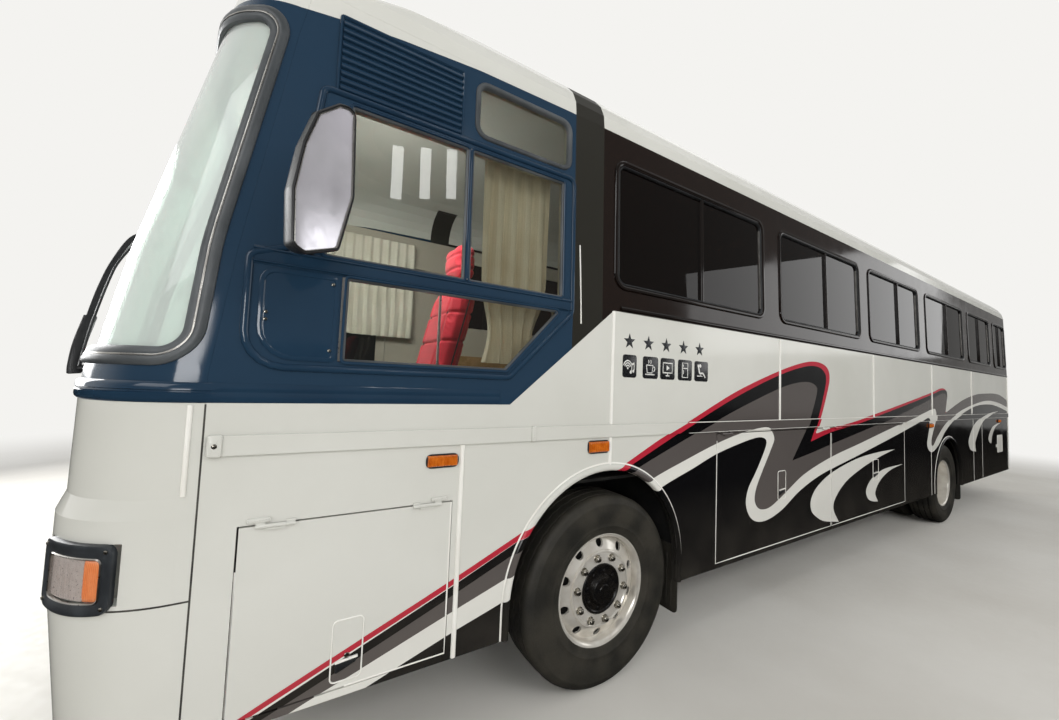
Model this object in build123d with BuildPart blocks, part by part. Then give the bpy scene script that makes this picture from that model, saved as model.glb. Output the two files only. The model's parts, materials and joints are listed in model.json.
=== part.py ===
"""Two-axle 12 m coach motorhome. Millimetres. +X forward, +Y to the vehicle's left, +Z up.

The origin is on the ground, at the middle of the length and of the width.
"""

import math
import os

from build123d import *

# Overall size and wheel positions
half_length = 5905.0
half_width = 1265.0
front_overhang = 2250.0
front_axle_x = half_length - front_overhang
wheelbase = 5950.0
rear_axle_x = front_axle_x - wheelbase
tyre_radius = 506.0
tyre_width = 276.0

# Heights of the body's panel lines
sill_z = 443.0
bumper_top_z = 890.0
waist_z = 1369.0
mask_bottom_z = 1507.0
band_bottom_z = 2027.0
roof_z = 3380.0
band_top_z = roof_z - 323.0
mask_top_z = band_top_z - 57.0

# Walls, seams and running gaps
wall = 40.0
front_wall = 50.0
seam = 0.4
lid_gap = 6.0
pin_clearance = 0.05

# Lengthwise panel lines, each set back from the end of the body
seam_setback = 485.0
front_seam_x = half_length - seam_setback
rear_seam_x = -half_length + 297.0
cap_seam_x = half_length - 1900.0
rear_roof_seam_x = -half_length + 605.0
rear_wall_x = -half_length + 25.0
rear_top_x = rear_wall_x + 10.0
top_inset = 27.0
top_half_width = half_width - top_inset

# Front skin, from the sill to the top of the dark mask. Each setback is from the front end.
# Columns: height, corner setback, centre setback, corner radius, side inset, rear edge setback
bumper_table = [
    (sill_z, 134.0, 55.0, 345.0, 0.0, seam_setback),
    (bumper_top_z, 83.0, 0.0, 360.0, 0.0, seam_setback),
]
panel_table = [
    (bumper_top_z + seam, 83.0, 0.0, 360.0, 0.0, seam_setback),
    (bumper_top_z + 260.0, 83.0, 0.0, 360.0, 0.0, seam_setback),
    (bumper_top_z + 320.0, 105.0, 25.0, 360.0, 0.0, seam_setback),
    (mask_bottom_z - seam, 108.0, 30.0, 360.0, 0.0, seam_setback),
]
mask_table = [
    (mask_bottom_z, 108.0, 25.0, 360.0, 0.0, seam_setback),
    (mask_bottom_z + 93.0, 114.0, 32.0, 360.0, 0.0, seam_setback),
    (band_bottom_z, 195.0, 105.0, 340.0, 0.0, 537.0),
    (mask_top_z - 150.0, 400.0, 320.0, 262.0, 21.6, 665.0),
    (mask_top_z - seam, 443.0, 363.0, 250.0, 25.5, 695.0),
]


def front_sections(table):
    """The table's levels as heights, front x's, radius, half width and rear edge x."""
    return [
        (z, half_length - corner, half_length - centre, radius, half_width - inset, half_length - rear)
        for z, corner, centre, radius, inset, rear in table
    ]


bumper_sections = front_sections(bumper_table)
panel_sections = front_sections(panel_table)
mask_sections = front_sections(mask_table)

# Roof edge, shared by the main roof and both caps. Drops are from the roof's top.
# Columns: drop, side inset, front corner setback, front centre setback, front radius,
# rear corner setback, rear radius
roof_table = [
    (roof_z - band_top_z, top_inset, 465.0, 382.0, 280.0, 35.0, 250.0),
    (250.0, 35.0, 515.0, 420.0, 380.0, 60.0, 270.0),
    (180.0, 65.0, 610.0, 485.0, 520.0, 105.0, 300.0),
    (115.0, 120.0, 750.0, 585.0, 650.0, 170.0, 320.0),
    (62.0, 205.0, 890.0, 700.0, 700.0, 255.0, 330.0),
    (28.0, 365.0, 1000.0, 820.0, 600.0, 335.0, 250.0),
    (0.0, 765.0, 1250.0, 1100.0, 300.0, 485.0, 100.0),
]
roof_sections = [
    (
        roof_z - drop,
        half_width - inset,
        half_length - corner,
        half_length - centre,
        front_radius,
        -half_length + rear_corner,
        rear_radius,
    )
    for drop, inset, corner, centre, front_radius, rear_corner, rear_radius in roof_table
]

# Side windows, in one row from the front cap to the rear corner, stretched to fill it.
# Columns: front edge and rear edge, both behind the row's front
window_bottom_z = band_bottom_z + 153.0
window_top_z = band_top_z - 172.0
window_radius = 60.0
window_row_front_x = cap_seam_x - 360.0
window_row_rear_x = rear_seam_x + 33.0
window_row_length = 9220.0
window_table = [
    (0.0, 1480.0),
    (1750.0, 3200.0),
    (3460.0, 4860.0),
    (5160.0, 6690.0),
    (6970.0, 8170.0),
    (8450.0, window_row_length),
]
row_stretch = (window_row_front_x - window_row_rear_x) / window_row_length
side_windows = [
    (window_row_front_x - front * row_stretch, window_row_front_x - rear * row_stretch)
    for front, rear in window_table
]

# Driver's window group: levels of its panes, and each pane's corners as (setback, height)
lower_pane_low = mask_bottom_z + 157.0
lower_pane_high = band_bottom_z - 47.0
main_pane_low = band_bottom_z + 23.0
main_pane_high = mask_top_z - 345.0
upper_pane_low = mask_top_z - 260.0
upper_pane_high = mask_top_z - 20.0
driver_pane_table = [
    [(876, lower_pane_low), (876, lower_pane_high), (1870, lower_pane_high), (1571, lower_pane_low)],
    [(790, main_pane_low), (860, main_pane_high), (1346, main_pane_high), (1346, main_pane_low)],
    [(1365, main_pane_low), (1365, main_pane_high), (1877, main_pane_high), (1877, main_pane_low)],
    [(1389, upper_pane_low), (1389, upper_pane_high), (1904, upper_pane_high), (1904, upper_pane_low)],
]
driver_panes = [[(half_length - setback, z) for setback, z in pane] for pane in driver_pane_table]
pane_radius = 20.0
glass_depth = 12.0
glass_thickness = 8.0

# Luggage bay between the axles
bay_front_x = front_axle_x - 895.0
bay_rear_x = rear_axle_x + 1555.0
bay_middle_x = front_axle_x - 2590.0
bay_floor = 25.0
bay_wall = 30.0

# Hatches. Columns: name, front x, rear x, bottom z, top z
hatch_low_z = sill_z + 27.0
hatch_high_z = waist_z - 45.0
front_hatch_high_z = waist_z - 268.0
hatch_post = 3.0
hatch_front_x = bay_front_x - 39.0
hatch_rear_x = bay_rear_x + 41.0
left_hatches = [
    ("hatch_left_front", front_seam_x - 107.0, front_axle_x + 909.0, hatch_low_z, front_hatch_high_z),
    ("hatch_left_middle", hatch_front_x, bay_middle_x + hatch_post, hatch_low_z, hatch_high_z),
    ("hatch_left_rear", bay_middle_x - hatch_post, hatch_rear_x, hatch_low_z, hatch_high_z),
]
right_hatches = [
    ("hatch_right_middle", hatch_front_x, bay_middle_x + hatch_post, hatch_low_z, hatch_high_z),
    ("hatch_right_rear", bay_middle_x - hatch_post, hatch_rear_x, hatch_low_z, hatch_high_z),
]

# Entry door in the right side
door_front_x = half_length - 700.0
door_rear_x = half_length - 1560.0
door_bottom_z = sill_z + 37.0
door_top_z = band_top_z - 497.0
door_pane_low_z = 1250.0
door_hinge_zs = (760.0, 1900.0)

# Wheel arches
arch_lead = 30.0
front_arch_radius = 585.0
front_arch_z = 575.0
rear_arch_radius = 535.0
rear_arch_z = 555.0
liner = 15.0
liner_inner_y = 560.0
front_liner_reach = 640.0
rear_liner_reach = 580.0
front_liner_top_z = 1109.0
rear_liner_top_z = 1100.0

# Hinges
hinge_radius = 7.0
hinge_pin_radius = 3.0
hinge_half_barrel = 30.0
hinge_end_barrel = 28.0
hinge_leaf = 14.0
hinge_play = 0.4
hinge_inset = 110.0

# Chassis
rail_inner_y = 390.0
rail_outer_y = 470.0
rail_bottom_z = 640.0
rail_top_z = 860.0
floor_z = 1345.0
floor_thickness = 40.0
cab_floor_z = 1110.0
cab_rear_x = door_rear_x - 45.0
stair_y = -500.0
engine_x = (rear_wall_x + 420.0, rear_wall_x + 1730.0)
engine_z = (480.0, 1250.0)

# Axles and wheels
front_wheel_y = half_width - 158.0
rear_outer_wheel_y = half_width - 178.0
twin_spacing = 310.0
rear_inner_wheel_y = rear_outer_wheel_y - twin_spacing
kingpin_y = front_wheel_y - 127.0
kingpin_radius = 25.0
boss_radius = 55.0
beam_half_height = 60.0
beam_half_width = 50.0
ear_thickness = 40.0
ear_gap = 5.0
stub_radius = 40.0
rear_stub_radius = 45.0
axle_tube_radius = 70.0
differential_radius = 210.0
differential_half = 150.0
bead_radius = 286.0
barrel_radius = bead_radius - 12.0
flange_radius = bead_radius + 12.5
rim_half_width = 105.0
rim_flange = 7.0
hand_holes = 10
hand_hole_radius = 22.5
front_hole_circle = 236.0
rear_hole_circle = 240.0
front_hub_radius = 110.0
rear_hub_radius = 120.0

os.makedirs("parts", exist_ok=True)


def write(part, name):
    """Label one finished sub-part and write its file."""
    part.part.label = name
    export_step(part.part, f"parts/{name}.step")


def block(x, y, z, mode=Mode.ADD):
    """A box from three (low, high) pairs."""
    middle = [sum(pair) / 2 for pair in (x, y, z)]
    size = [abs(pair[1] - pair[0]) for pair in (x, y, z)]
    with Locations(tuple(middle)):
        Box(*size, mode=mode)


def rod_y(x, z, radius, y0, y1, mode=Mode.ADD):
    """A cylinder along Y."""
    with Locations(Location((x, (y0 + y1) / 2, z), (90, 0, 0))):
        Cylinder(radius, abs(y1 - y0), mode=mode)


def rod_z(x, y, radius, z0, z1, mode=Mode.ADD):
    """A cylinder along Z."""
    with Locations((x, y, (z0 + z1) / 2)):
        Cylinder(radius, abs(z1 - z0), mode=mode)


def prism_y(points, y0, y1, radius=0.0, mode=Mode.ADD):
    """An (x, z) outline carried across from y0 to y1, its corners rounded."""
    low, high = min(y0, y1), max(y0, y1)
    with BuildSketch(Plane.XZ.offset(-high)) as outline:
        Polygon(*points, align=None)
        if radius:
            fillet(outline.vertices(), radius)
    extrude(outline.sketch, amount=high - low, mode=mode)


def prism_x(points, x0, x1, mode=Mode.ADD):
    """A (y, z) outline carried along from x0 to x1."""
    low, high = min(x0, x1), max(x0, x1)
    with BuildSketch(Plane.YZ.offset(low)) as outline:
        Polygon(*points, align=None)
    extrude(outline.sketch, amount=high - low, mode=mode)


def ring(x, z, points, mode=Mode.ADD):
    """A (y, radius) outline turned about the wheel's axis."""
    plane = Plane((x, 0, z), x_dir=(0, 1, 0), z_dir=(1, 0, 0))
    with BuildSketch(plane) as outline:
        with BuildLine():
            Polyline(*points, close=True)
        make_face()
    revolve(outline.sketch, axis=Axis((x, 0, z), (0, 1, 0)), revolution_arc=360, mode=mode)


def plan_section(z, corner_x, centre_x, radius, width, back_x):
    """One level of an end skin: two sides, two round corners and a bulged face.

    It faces +X when corner_x is ahead of back_x, else -X.
    """
    way = 1 if corner_x > back_x else -1
    reach = width - radius
    slope = 2 * math.atan(abs(centre_x - corner_x) / reach)
    turn_x = corner_x - way * radius
    half = (math.pi / 2 + slope) / 2
    mid = (turn_x + way * radius * math.cos(half), reach + radius * math.sin(half))
    end = (turn_x + way * radius * math.cos(slope), reach + radius * math.sin(slope))
    with BuildSketch(Plane.XY.offset(z)) as level:
        with BuildLine():
            Line((back_x, -width), (turn_x, -width))
            ThreePointArc((turn_x, -width), (mid[0], -mid[1]), (end[0], -end[1]))
            ThreePointArc((end[0], -end[1]), (centre_x, 0), end)
            ThreePointArc(end, mid, (turn_x, width))
            Line((turn_x, width), (back_x, width))
            Line((back_x, width), (back_x, -width))
        make_face()
    return level.sketch


def end_solid(sections, inset=0.0, deeper=0.0, mode=Mode.ADD):
    """A ruled solid through the sections, its outside moved in by inset."""
    levels = []
    for z, corner_x, centre_x, radius, width, back_x in sections:
        way = 1 if corner_x > back_x else -1
        level = plan_section(
            z,
            corner_x - way * inset,
            centre_x - way * inset,
            radius - inset,
            width - inset,
            back_x - way * deeper,
        )
        levels.append(level)
    loft(levels, ruled=True, mode=mode)


def end_skin(sections, thickness):
    """An open-backed wall that follows the sections."""
    end_solid(sections)
    end_solid(sections, inset=thickness, deeper=50.0, mode=Mode.SUBTRACT)


def wall_outline(side, z0, z1, depth=0.0, thickness=wall):
    """The side wall's (y, z) section between two heights, with its lean above the band line."""
    def outer(z):
        lean = max(0.0, z - band_bottom_z) / (band_top_z - band_bottom_z)
        return half_width - depth - lean * (half_width - top_half_width)

    heights = [z0, z1]
    if z0 < band_bottom_z < z1:
        heights = [z0, band_bottom_z, z1]
    outside = [(side * outer(z), z) for z in heights]
    inside = [(side * (outer(z) - thickness), z) for z in reversed(heights)]
    return outside + inside


def window_outline(front_x, rear_x, inset=0.0):
    """A side window's four corners."""
    low, high = window_bottom_z + inset, window_top_z - inset
    return [
        (front_x - inset, low),
        (front_x - inset, high),
        (rear_x + inset, high),
        (rear_x + inset, low),
    ]


def shrunk(points, inset):
    """A convex outline with each corner moved towards the middle by about inset."""
    middle_x = sum(p[0] for p in points) / len(points)
    middle_z = sum(p[1] for p in points) / len(points)
    out = []
    for x, z in points:
        out.append((x - math.copysign(inset, x - middle_x), z - math.copysign(inset, z - middle_z)))
    return out


def through(side):
    """A span across Y that passes right through one side's wall."""
    return side * (half_width - 165.0), side * (half_width + 135.0)


def hinge_fixed(place, along, side, ups):
    """The body's half of a hinge: two end knuckles, their leaves and the pin.

    place is the hinge's middle on its axis; ups is the way from the axis to the fixed panel.
    """
    inner = hinge_half_barrel + hinge_play
    outer = inner + hinge_end_barrel
    for low, high in ((inner, outer), (-outer, -inner)):
        knuckle(place, along, low, high, hinge_radius)
        leaf(place, along, low, high, side, ups)
    knuckle(place, along, -outer, outer, hinge_pin_radius)


def hinge_moving(place, along, side, ups):
    """The lid's half of a hinge: a middle knuckle with its bore and leaf."""
    knuckle(place, along, -hinge_half_barrel, hinge_half_barrel, hinge_radius)
    leaf(place, along, -hinge_half_barrel, hinge_half_barrel, side, ups)
    bore = hinge_pin_radius + pin_clearance
    knuckle(place, along, -hinge_half_barrel, hinge_half_barrel, bore, Mode.SUBTRACT)


def knuckle(place, along, low, high, radius, mode=Mode.ADD):
    """A cylinder on the hinge's axis between two stations."""
    middle = (low + high) / 2
    turns = {"x": (0, 90, 0), "y": (90, 0, 0), "z": (0, 0, 0)}[along]
    shift = {"x": (middle, 0, 0), "y": (0, middle, 0), "z": (0, 0, middle)}[along]
    spot = tuple(p + s for p, s in zip(place, shift))
    with Locations(Location(spot, turns)):
        Cylinder(radius, high - low, mode=mode)


def leaf(place, along, low, high, side, ups):
    """The flat plate from a knuckle to its panel.

    side is the outward way as (axis index, sign); ups is the way along the panel.
    """
    axis_index = {"x": 0, "y": 1, "z": 2}[along]
    spans = [None, None, None]
    spans[axis_index] = (place[axis_index] + low, place[axis_index] + high)
    out_index, out_sign = side
    face = place[out_index] - out_sign * (hinge_radius + 2)
    spans[out_index] = tuple(sorted((face, place[out_index])))
    up_index, up_sign = ups
    end = place[up_index] + up_sign * hinge_leaf
    spans[up_index] = tuple(sorted((place[up_index], end)))
    block(*spans)


def hatch_hinges(front_x, rear_x, top_z, side):
    """Places of a hatch's two hinges, on its top edge."""
    y = side * (half_width + hinge_radius)
    z = top_z - lid_gap
    return [(front_x - hinge_inset, y, z), (rear_x + hinge_inset, y, z)]


def door_hinges():
    """Places of the entry door's two hinges, on its front edge."""
    y = -(half_width + hinge_radius)
    return [(door_front_x - lid_gap, y, z) for z in door_hinge_zs]


def arch_cut(side):
    """Both wheel arches, cut through a side's skirt."""
    for axle_x, radius, z in (
        (front_axle_x, front_arch_radius, front_arch_z),
        (rear_axle_x, rear_arch_radius, rear_arch_z),
    ):
        middle = axle_x + arch_lead
        rod_y(middle, z, radius, *through(side), mode=Mode.SUBTRACT)
        block((middle - radius, middle + radius), through(side), (sill_z - 100.0, z), Mode.SUBTRACT)


# Skirts: the lower side walls, with arches and hatch openings
for side, name, hatches in ((1, "skirt_left", left_hatches), (-1, "skirt_right", right_hatches)):
    with BuildPart() as skirt:
        prism_x(wall_outline(side, sill_z, waist_z - seam), rear_seam_x + seam, front_seam_x - seam)
        arch_cut(side)
        for _, front_x, rear_x, low, high in hatches:
            block((rear_x, front_x), through(side), (low, high), Mode.SUBTRACT)
        if side < 0:
            door = (door_rear_x, door_front_x)
            block(door, through(side), (door_bottom_z, waist_z + 10), Mode.SUBTRACT)
        for _, front_x, rear_x, low, high in hatches:
            for place in hatch_hinges(front_x, rear_x, high, side):
                hinge_fixed(place, "x", (1, side), (2, 1))
        if side < 0:
            hinge_fixed(door_hinges()[0], "z", (1, side), (0, 1))
    write(skirt, name)

# Upper side walls, with window openings, the raked front edge and curtain rails
front_edge = [(p[5] - seam, p[0]) for p in mask_sections]
beyond = [(half_length, mask_sections[-1][0] + 200.0), (half_length, mask_bottom_z)]
top_edge = [(mask_sections[-1][5] - seam, band_top_z + 100.0)]
curtain_rail_x = (cap_seam_x - 20.0, half_length - 855.0)
curtain_rail_y = (half_width - 145.0, half_width - 50.0)
curtain_rail_z = (band_top_z - 352.0, band_top_z - 332.0)
for side, name in ((1, "sidewall_left"), (-1, "sidewall_right")):
    with BuildPart() as sidewall:
        prism_x(wall_outline(side, waist_z, band_top_z - seam), rear_seam_x + seam, front_seam_x - seam)
        prism_y(front_edge + top_edge + beyond, *through(side), mode=Mode.SUBTRACT)
        for front_x, rear_x in side_windows:
            outline = window_outline(front_x, rear_x)
            prism_y(outline, *through(side), window_radius, Mode.SUBTRACT)
        block(curtain_rail_x, [side * y for y in curtain_rail_y], curtain_rail_z)
        if side > 0:
            for pane in driver_panes:
                prism_y(pane, *through(side), pane_radius, Mode.SUBTRACT)
        else:
            door = (door_rear_x, door_front_x)
            block(door, through(side), (waist_z - 10, door_top_z), Mode.SUBTRACT)
            hinge_fixed(door_hinges()[1], "z", (1, side), (0, 1))
    write(sidewall, name)

# Side glass, set back in the openings
for side, name in ((1, "side_glass_left"), (-1, "side_glass_right")):
    with BuildPart() as glass:
        for front_x, rear_x in side_windows:
            outline = window_outline(front_x, rear_x, seam)
            prism_y(outline, *through(side), window_radius)
        if side > 0:
            for pane in driver_panes:
                prism_y(shrunk(pane, seam), *through(side), pane_radius)
        strip = wall_outline(side, lower_pane_low - 50.0, band_top_z - 17.0, glass_depth, glass_thickness)
        prism_x(strip, rear_wall_x, front_seam_x, Mode.INTERSECT)
    write(glass, name)

# Roof: one section along the body, closed behind by a rounded cap
roof_lengths = len(roof_sections) - 1


def roof_inner(index):
    """The inside half width and height that belong to one roof section."""
    z, width = roof_sections[index][:2]
    return width - wall, z - wall * index / roof_lengths


hatch_x = 900.0
hatch_half = 300.0
rim = hatch_half + 30.0
rim_top_z = roof_z + 20.0
roof_lid_z = rim_top_z + 6.0
roof_lid_thickness = 20.0
roof_hinge_x = hatch_x + rim + 18.0
roof_hinge_ys = (-200.0, 200.0)
opening = (
    (hatch_x - hatch_half, hatch_x + hatch_half),
    (-hatch_half, hatch_half),
    (roof_z - 100.0, rim_top_z + 10.0),
)
with BuildPart() as roof_shell:
    edge = [(width, z) for z, width, *_ in roof_sections]
    outline = edge + [(-y, z) for y, z in reversed(edge)]
    prism_x(outline, rear_roof_seam_x, cap_seam_x - seam)
    rear_levels = [
        (z, rear_x, rear_x, radius, width, rear_roof_seam_x)
        for z, width, _, _, _, rear_x, radius in roof_sections
    ]
    end_solid([(z, x, x - 1.0, r, w, b) for z, x, _, r, w, b in rear_levels])
    inner_edge = [roof_inner(i) for i in range(len(roof_sections))]
    inner = inner_edge + [(-y, z) for y, z in reversed(inner_edge)]
    prism_x(inner, rear_roof_seam_x, cap_seam_x + 10.0, Mode.SUBTRACT)
    hollow_levels = []
    for index, (z, x, _, radius, width, back_x) in enumerate(rear_levels):
        inner_z = roof_inner(index)[1]
        hollow_levels.append((inner_z, x, x - 1.0, radius, width, back_x))
    end_solid(hollow_levels, inset=wall, deeper=50.0, mode=Mode.SUBTRACT)
    block((hatch_x - rim, hatch_x + rim), (-rim, rim), (roof_z - wall, rim_top_z))
    block(*opening, Mode.SUBTRACT)
    for y in roof_hinge_ys:
        place = (roof_hinge_x, y, roof_lid_z + hinge_radius)
        hinge_fixed(place, "y", (2, 1), (0, 1))
        post = (roof_hinge_x + 2.0, roof_hinge_x + hinge_leaf)
        inner = hinge_half_barrel + hinge_play
        for low in (inner, -inner - hinge_end_barrel):
            block(post, (y + low, y + low + hinge_end_barrel), (roof_z - 2.0, place[2]))
write(roof_shell, "roof_shell")

# Roof hatch lid, hinged on its front edge
with BuildPart() as roof_hatch:
    block((hatch_x - rim, roof_hinge_x), (-rim, rim), (roof_lid_z, roof_lid_z + roof_lid_thickness))
    for y in roof_hinge_ys:
        place = (roof_hinge_x, y, roof_lid_z + hinge_radius)
        clear = hinge_half_barrel + hinge_end_barrel + 6.0
        notch = (roof_hinge_x - 13.0, roof_hinge_x + 1.0)
        lid_span = (rim_top_z, roof_lid_z + 2 * roof_lid_thickness)
        block(notch, (y - clear, y + clear), lid_span, Mode.SUBTRACT)
        hinge_moving(place, "y", (2, 1), (0, -1))
write(roof_hatch, "roof_hatch")

# Front roof cap
with BuildPart() as front_cap:
    levels = [(mask_top_z, *mask_sections[-1][1:5], cap_seam_x)]
    for z, width, corner_x, centre_x, radius, _, _ in roof_sections:
        levels.append((z, corner_x, centre_x, radius, width, cap_seam_x))
    end_solid(levels)
    inner_levels = []
    for index, (z, corner_x, centre_x, radius, width, back_x) in enumerate(levels):
        drop = wall * max(0, index - 1) / roof_lengths
        inner_levels.append((z - drop, corner_x, centre_x, radius, width, back_x))
    end_solid(inner_levels, inset=wall, deeper=50.0, mode=Mode.SUBTRACT)
    behind = (cap_seam_x - 60.0, mask_sections[-1][5])
    block(behind, (-half_width, half_width), (mask_top_z - 20, band_top_z), Mode.SUBTRACT)
write(front_cap, "front_cap")

# Windscreen opening, seen from the side: (setback, height) corners, open to the front
screen_low_z = mask_bottom_z + 143.0
screen_high_z = mask_top_z - 100.0
screen_table = [
    (435, screen_low_z),
    (481, screen_low_z + 460.0),
    (600, screen_high_z - 115.0),
    (622, screen_high_z),
    (-195, screen_high_z),
    (-195, screen_low_z),
]
screen_outline = [(half_length - setback, z) for setback, z in screen_table]
screen_span = (-half_width - 135.0, half_width + 135.0)
screen_radius = 40.0
pillar_half = 35.0
pillar_x = (half_length - 700.0, half_length + 195.0)
pillar_z = (mask_bottom_z - 7.0, mask_top_z)
with BuildPart() as front_mask:
    end_skin(mask_sections, front_wall)
    prism_y(screen_outline, *screen_span, screen_radius, Mode.SUBTRACT)
write(front_mask, "front_mask")

# Windscreen: a left and a right pane in the mask's opening
with BuildPart() as windscreen:
    end_solid(mask_sections, inset=glass_depth)
    end_solid(mask_sections, inset=glass_depth + glass_thickness, deeper=50.0, mode=Mode.SUBTRACT)
    prism_y(shrunk(screen_outline, seam), *screen_span, screen_radius, Mode.INTERSECT)
    block(pillar_x, (-pillar_half, pillar_half), pillar_z, Mode.SUBTRACT)
write(windscreen, "windscreen")

# Centre pillar between the panes
with BuildPart() as screen_pillar:
    end_solid(mask_sections)
    end_solid(mask_sections, inset=front_wall, deeper=50.0, mode=Mode.SUBTRACT)
    prism_y(shrunk(screen_outline, seam), *screen_span, screen_radius, Mode.INTERSECT)
    inside = pillar_half - seam
    block(pillar_x, (-inside, inside), pillar_z, Mode.INTERSECT)
write(screen_pillar, "screen_pillar")

# Front panel with the lamp band, and the bumper below it
lamp_low_z = bumper_top_z + 15.0
lamp_high_z = bumper_top_z + 195.0
lamp_half = 140.0
lamp_turn = 46.0
lamp_corner_x = panel_sections[0][1]
lamp_corner_radius = panel_sections[0][3]
lamp_block_reach = 330.0
lamp_block_length = 220.0


def lamp_wedges(inset, mode):
    """The two slanted blocks that stand through the lamp band's corners."""
    reach = half_width - lamp_corner_radius
    turn_x = lamp_corner_x - lamp_corner_radius
    lean = math.radians(lamp_turn)
    for side in (1, -1):
        x = turn_x + lamp_block_reach * math.cos(lean)
        y = side * (reach + lamp_block_reach * math.sin(lean))
        height = lamp_high_z - lamp_low_z - 2 * inset
        spot = Location((x, y, (lamp_low_z + lamp_high_z) / 2), (0, 0, side * lamp_turn))
        with Locations(spot):
            Box(lamp_block_length, 2 * (lamp_half - inset), height, mode=mode)


with BuildPart() as front_panel:
    end_skin(panel_sections, front_wall)
    lamp_wedges(0.0, Mode.SUBTRACT)
write(front_panel, "front_panel")

with BuildPart() as wedges:
    lamp_wedges(seam, Mode.ADD)
with BuildPart() as headlamps:
    end_skin(panel_sections, front_wall)
    add(wedges.part, mode=Mode.INTERSECT)
write(headlamps, "headlamps")

with BuildPart() as front_bumper:
    end_skin(bumper_sections, front_wall)
write(front_bumper, "front_bumper")

# Rear end: bumper, lower panel with the engine opening, upper wall
rear_radius = 250.0
bumper_back_z = 620.0
lid_half = half_width - 445.0
lid_low_z = bumper_back_z + 30.0
lid_high_z = waist_z - 69.0
rear_cut_x = (rear_wall_x - 120.0, rear_wall_x + 80.0)
rear_low = [
    (bumper_back_z + seam, rear_wall_x, rear_wall_x - 1, rear_radius, half_width, rear_seam_x),
    (waist_z - seam, rear_wall_x, rear_wall_x - 1, rear_radius, half_width, rear_seam_x),
]
rear_high = [
    (waist_z, rear_wall_x, rear_wall_x - 1, rear_radius, half_width, rear_seam_x),
    (band_bottom_z, rear_wall_x, rear_wall_x - 1, rear_radius, half_width, rear_seam_x),
    (band_top_z - seam, rear_top_x, rear_top_x - 1, rear_radius, top_half_width, rear_seam_x),
]
lamp_y = (half_width - 345.0, half_width - 245.0)
lamp_z = (bumper_back_z + 230.0, waist_z - 119.0)
rear_hinge_ys = (220.0 - lid_half, lid_half - 220.0)
with BuildPart() as rear_panel:
    end_skin(rear_low, wall)
    block(rear_cut_x, (-lid_half, lid_half), (lid_low_z, lid_high_z), Mode.SUBTRACT)
    for side in (1, -1):
        pocket_x = (rear_cut_x[0], rear_wall_x + 60.0)
        block(pocket_x, [side * y for y in lamp_y], lamp_z, Mode.SUBTRACT)
    for y in rear_hinge_ys:
        place = (rear_wall_x - 1 - hinge_radius, y, lid_high_z - lid_gap)
        hinge_fixed(place, "y", (0, -1), (2, 1))
write(rear_panel, "rear_panel")

with BuildPart() as engine_lid:
    ys = (-lid_half + lid_gap, lid_half - lid_gap)
    zs = (lid_low_z + lid_gap, lid_high_z - lid_gap)
    block((rear_wall_x - 1, rear_wall_x + wall), ys, zs)
    for y in rear_hinge_ys:
        place = (rear_wall_x - 1 - hinge_radius, y, lid_high_z - lid_gap)
        hinge_moving(place, "y", (0, -1), (2, -1))
write(engine_lid, "engine_lid")

with BuildPart() as tail_lamps:
    for side in (1, -1):
        ys = (side * (lamp_y[0] + seam), side * (lamp_y[1] - seam))
        zs = (lamp_z[0] + seam, lamp_z[1] - seam)
        block((rear_wall_x - 8, rear_wall_x + 30), ys, zs)
write(tail_lamps, "tail_lamps")

with BuildPart() as rear_wall:
    end_skin(rear_high, wall)
write(rear_wall, "rear_wall")

with BuildPart() as rear_bumper:
    level = (-half_length + 1, -half_length, rear_radius + 20, half_width, rear_seam_x)
    end_skin([(sill_z, *level), (bumper_back_z, *level)], front_wall)
write(rear_bumper, "rear_bumper")

# Hatches, each with its hinge knuckles
for side, hatches in ((1, left_hatches), (-1, right_hatches)):
    for name, front_x, rear_x, low, high in hatches:
        with BuildPart() as hatch:
            xs = (rear_x + lid_gap, front_x - lid_gap)
            ys = (side * (half_width - wall), side * half_width)
            block(xs, ys, (low + lid_gap, high - lid_gap))
            for place in hatch_hinges(front_x, rear_x, high, side):
                hinge_moving(place, "x", (1, side), (2, -1))
        write(hatch, name)

# Entry door and its pane
door_frame = 85.0
door_pane = [
    (door_front_x - door_frame, door_pane_low_z),
    (door_front_x - door_frame, door_top_z - door_frame),
    (door_rear_x + door_frame, door_top_z - door_frame),
    (door_rear_x + door_frame, door_pane_low_z),
]
with BuildPart() as entry_door:
    outline = wall_outline(-1, door_bottom_z + lid_gap, door_top_z - lid_gap)
    prism_x(outline, door_rear_x + lid_gap, door_front_x - lid_gap)
    prism_y(door_pane, *through(-1), window_radius, Mode.SUBTRACT)
    for place in door_hinges():
        hinge_moving(place, "z", (1, -1), (0, -1))
write(entry_door, "entry_door")

with BuildPart() as entry_door_glass:
    prism_y(shrunk(door_pane, seam), *through(-1), window_radius)
    strip = wall_outline(-1, door_pane_low_z - 50.0, door_top_z, glass_depth, glass_thickness)
    prism_x(strip, door_rear_x, door_front_x, Mode.INTERSECT)
write(entry_door_glass, "entry_door_glass")

# Rub rails along both sides
rub_rail_z = (waist_z - 33.0, waist_z + 33.0)
rub_rail_depth = 10.0
rub_rail_end_x = front_seam_x - 12.0
rub_rail_runs = [
    (1, rear_seam_x, rub_rail_end_x),
    (-1, rear_seam_x, door_rear_x - 10.0),
    (-1, door_front_x + 20.0, rub_rail_end_x),
]
with BuildPart() as rub_rails:
    for side, start_x, end_x in rub_rail_runs:
        ys = (side * (half_width + seam), side * (half_width + rub_rail_depth))
        block((start_x, end_x), ys, rub_rail_z)
write(rub_rails, "rub_rails")

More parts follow.
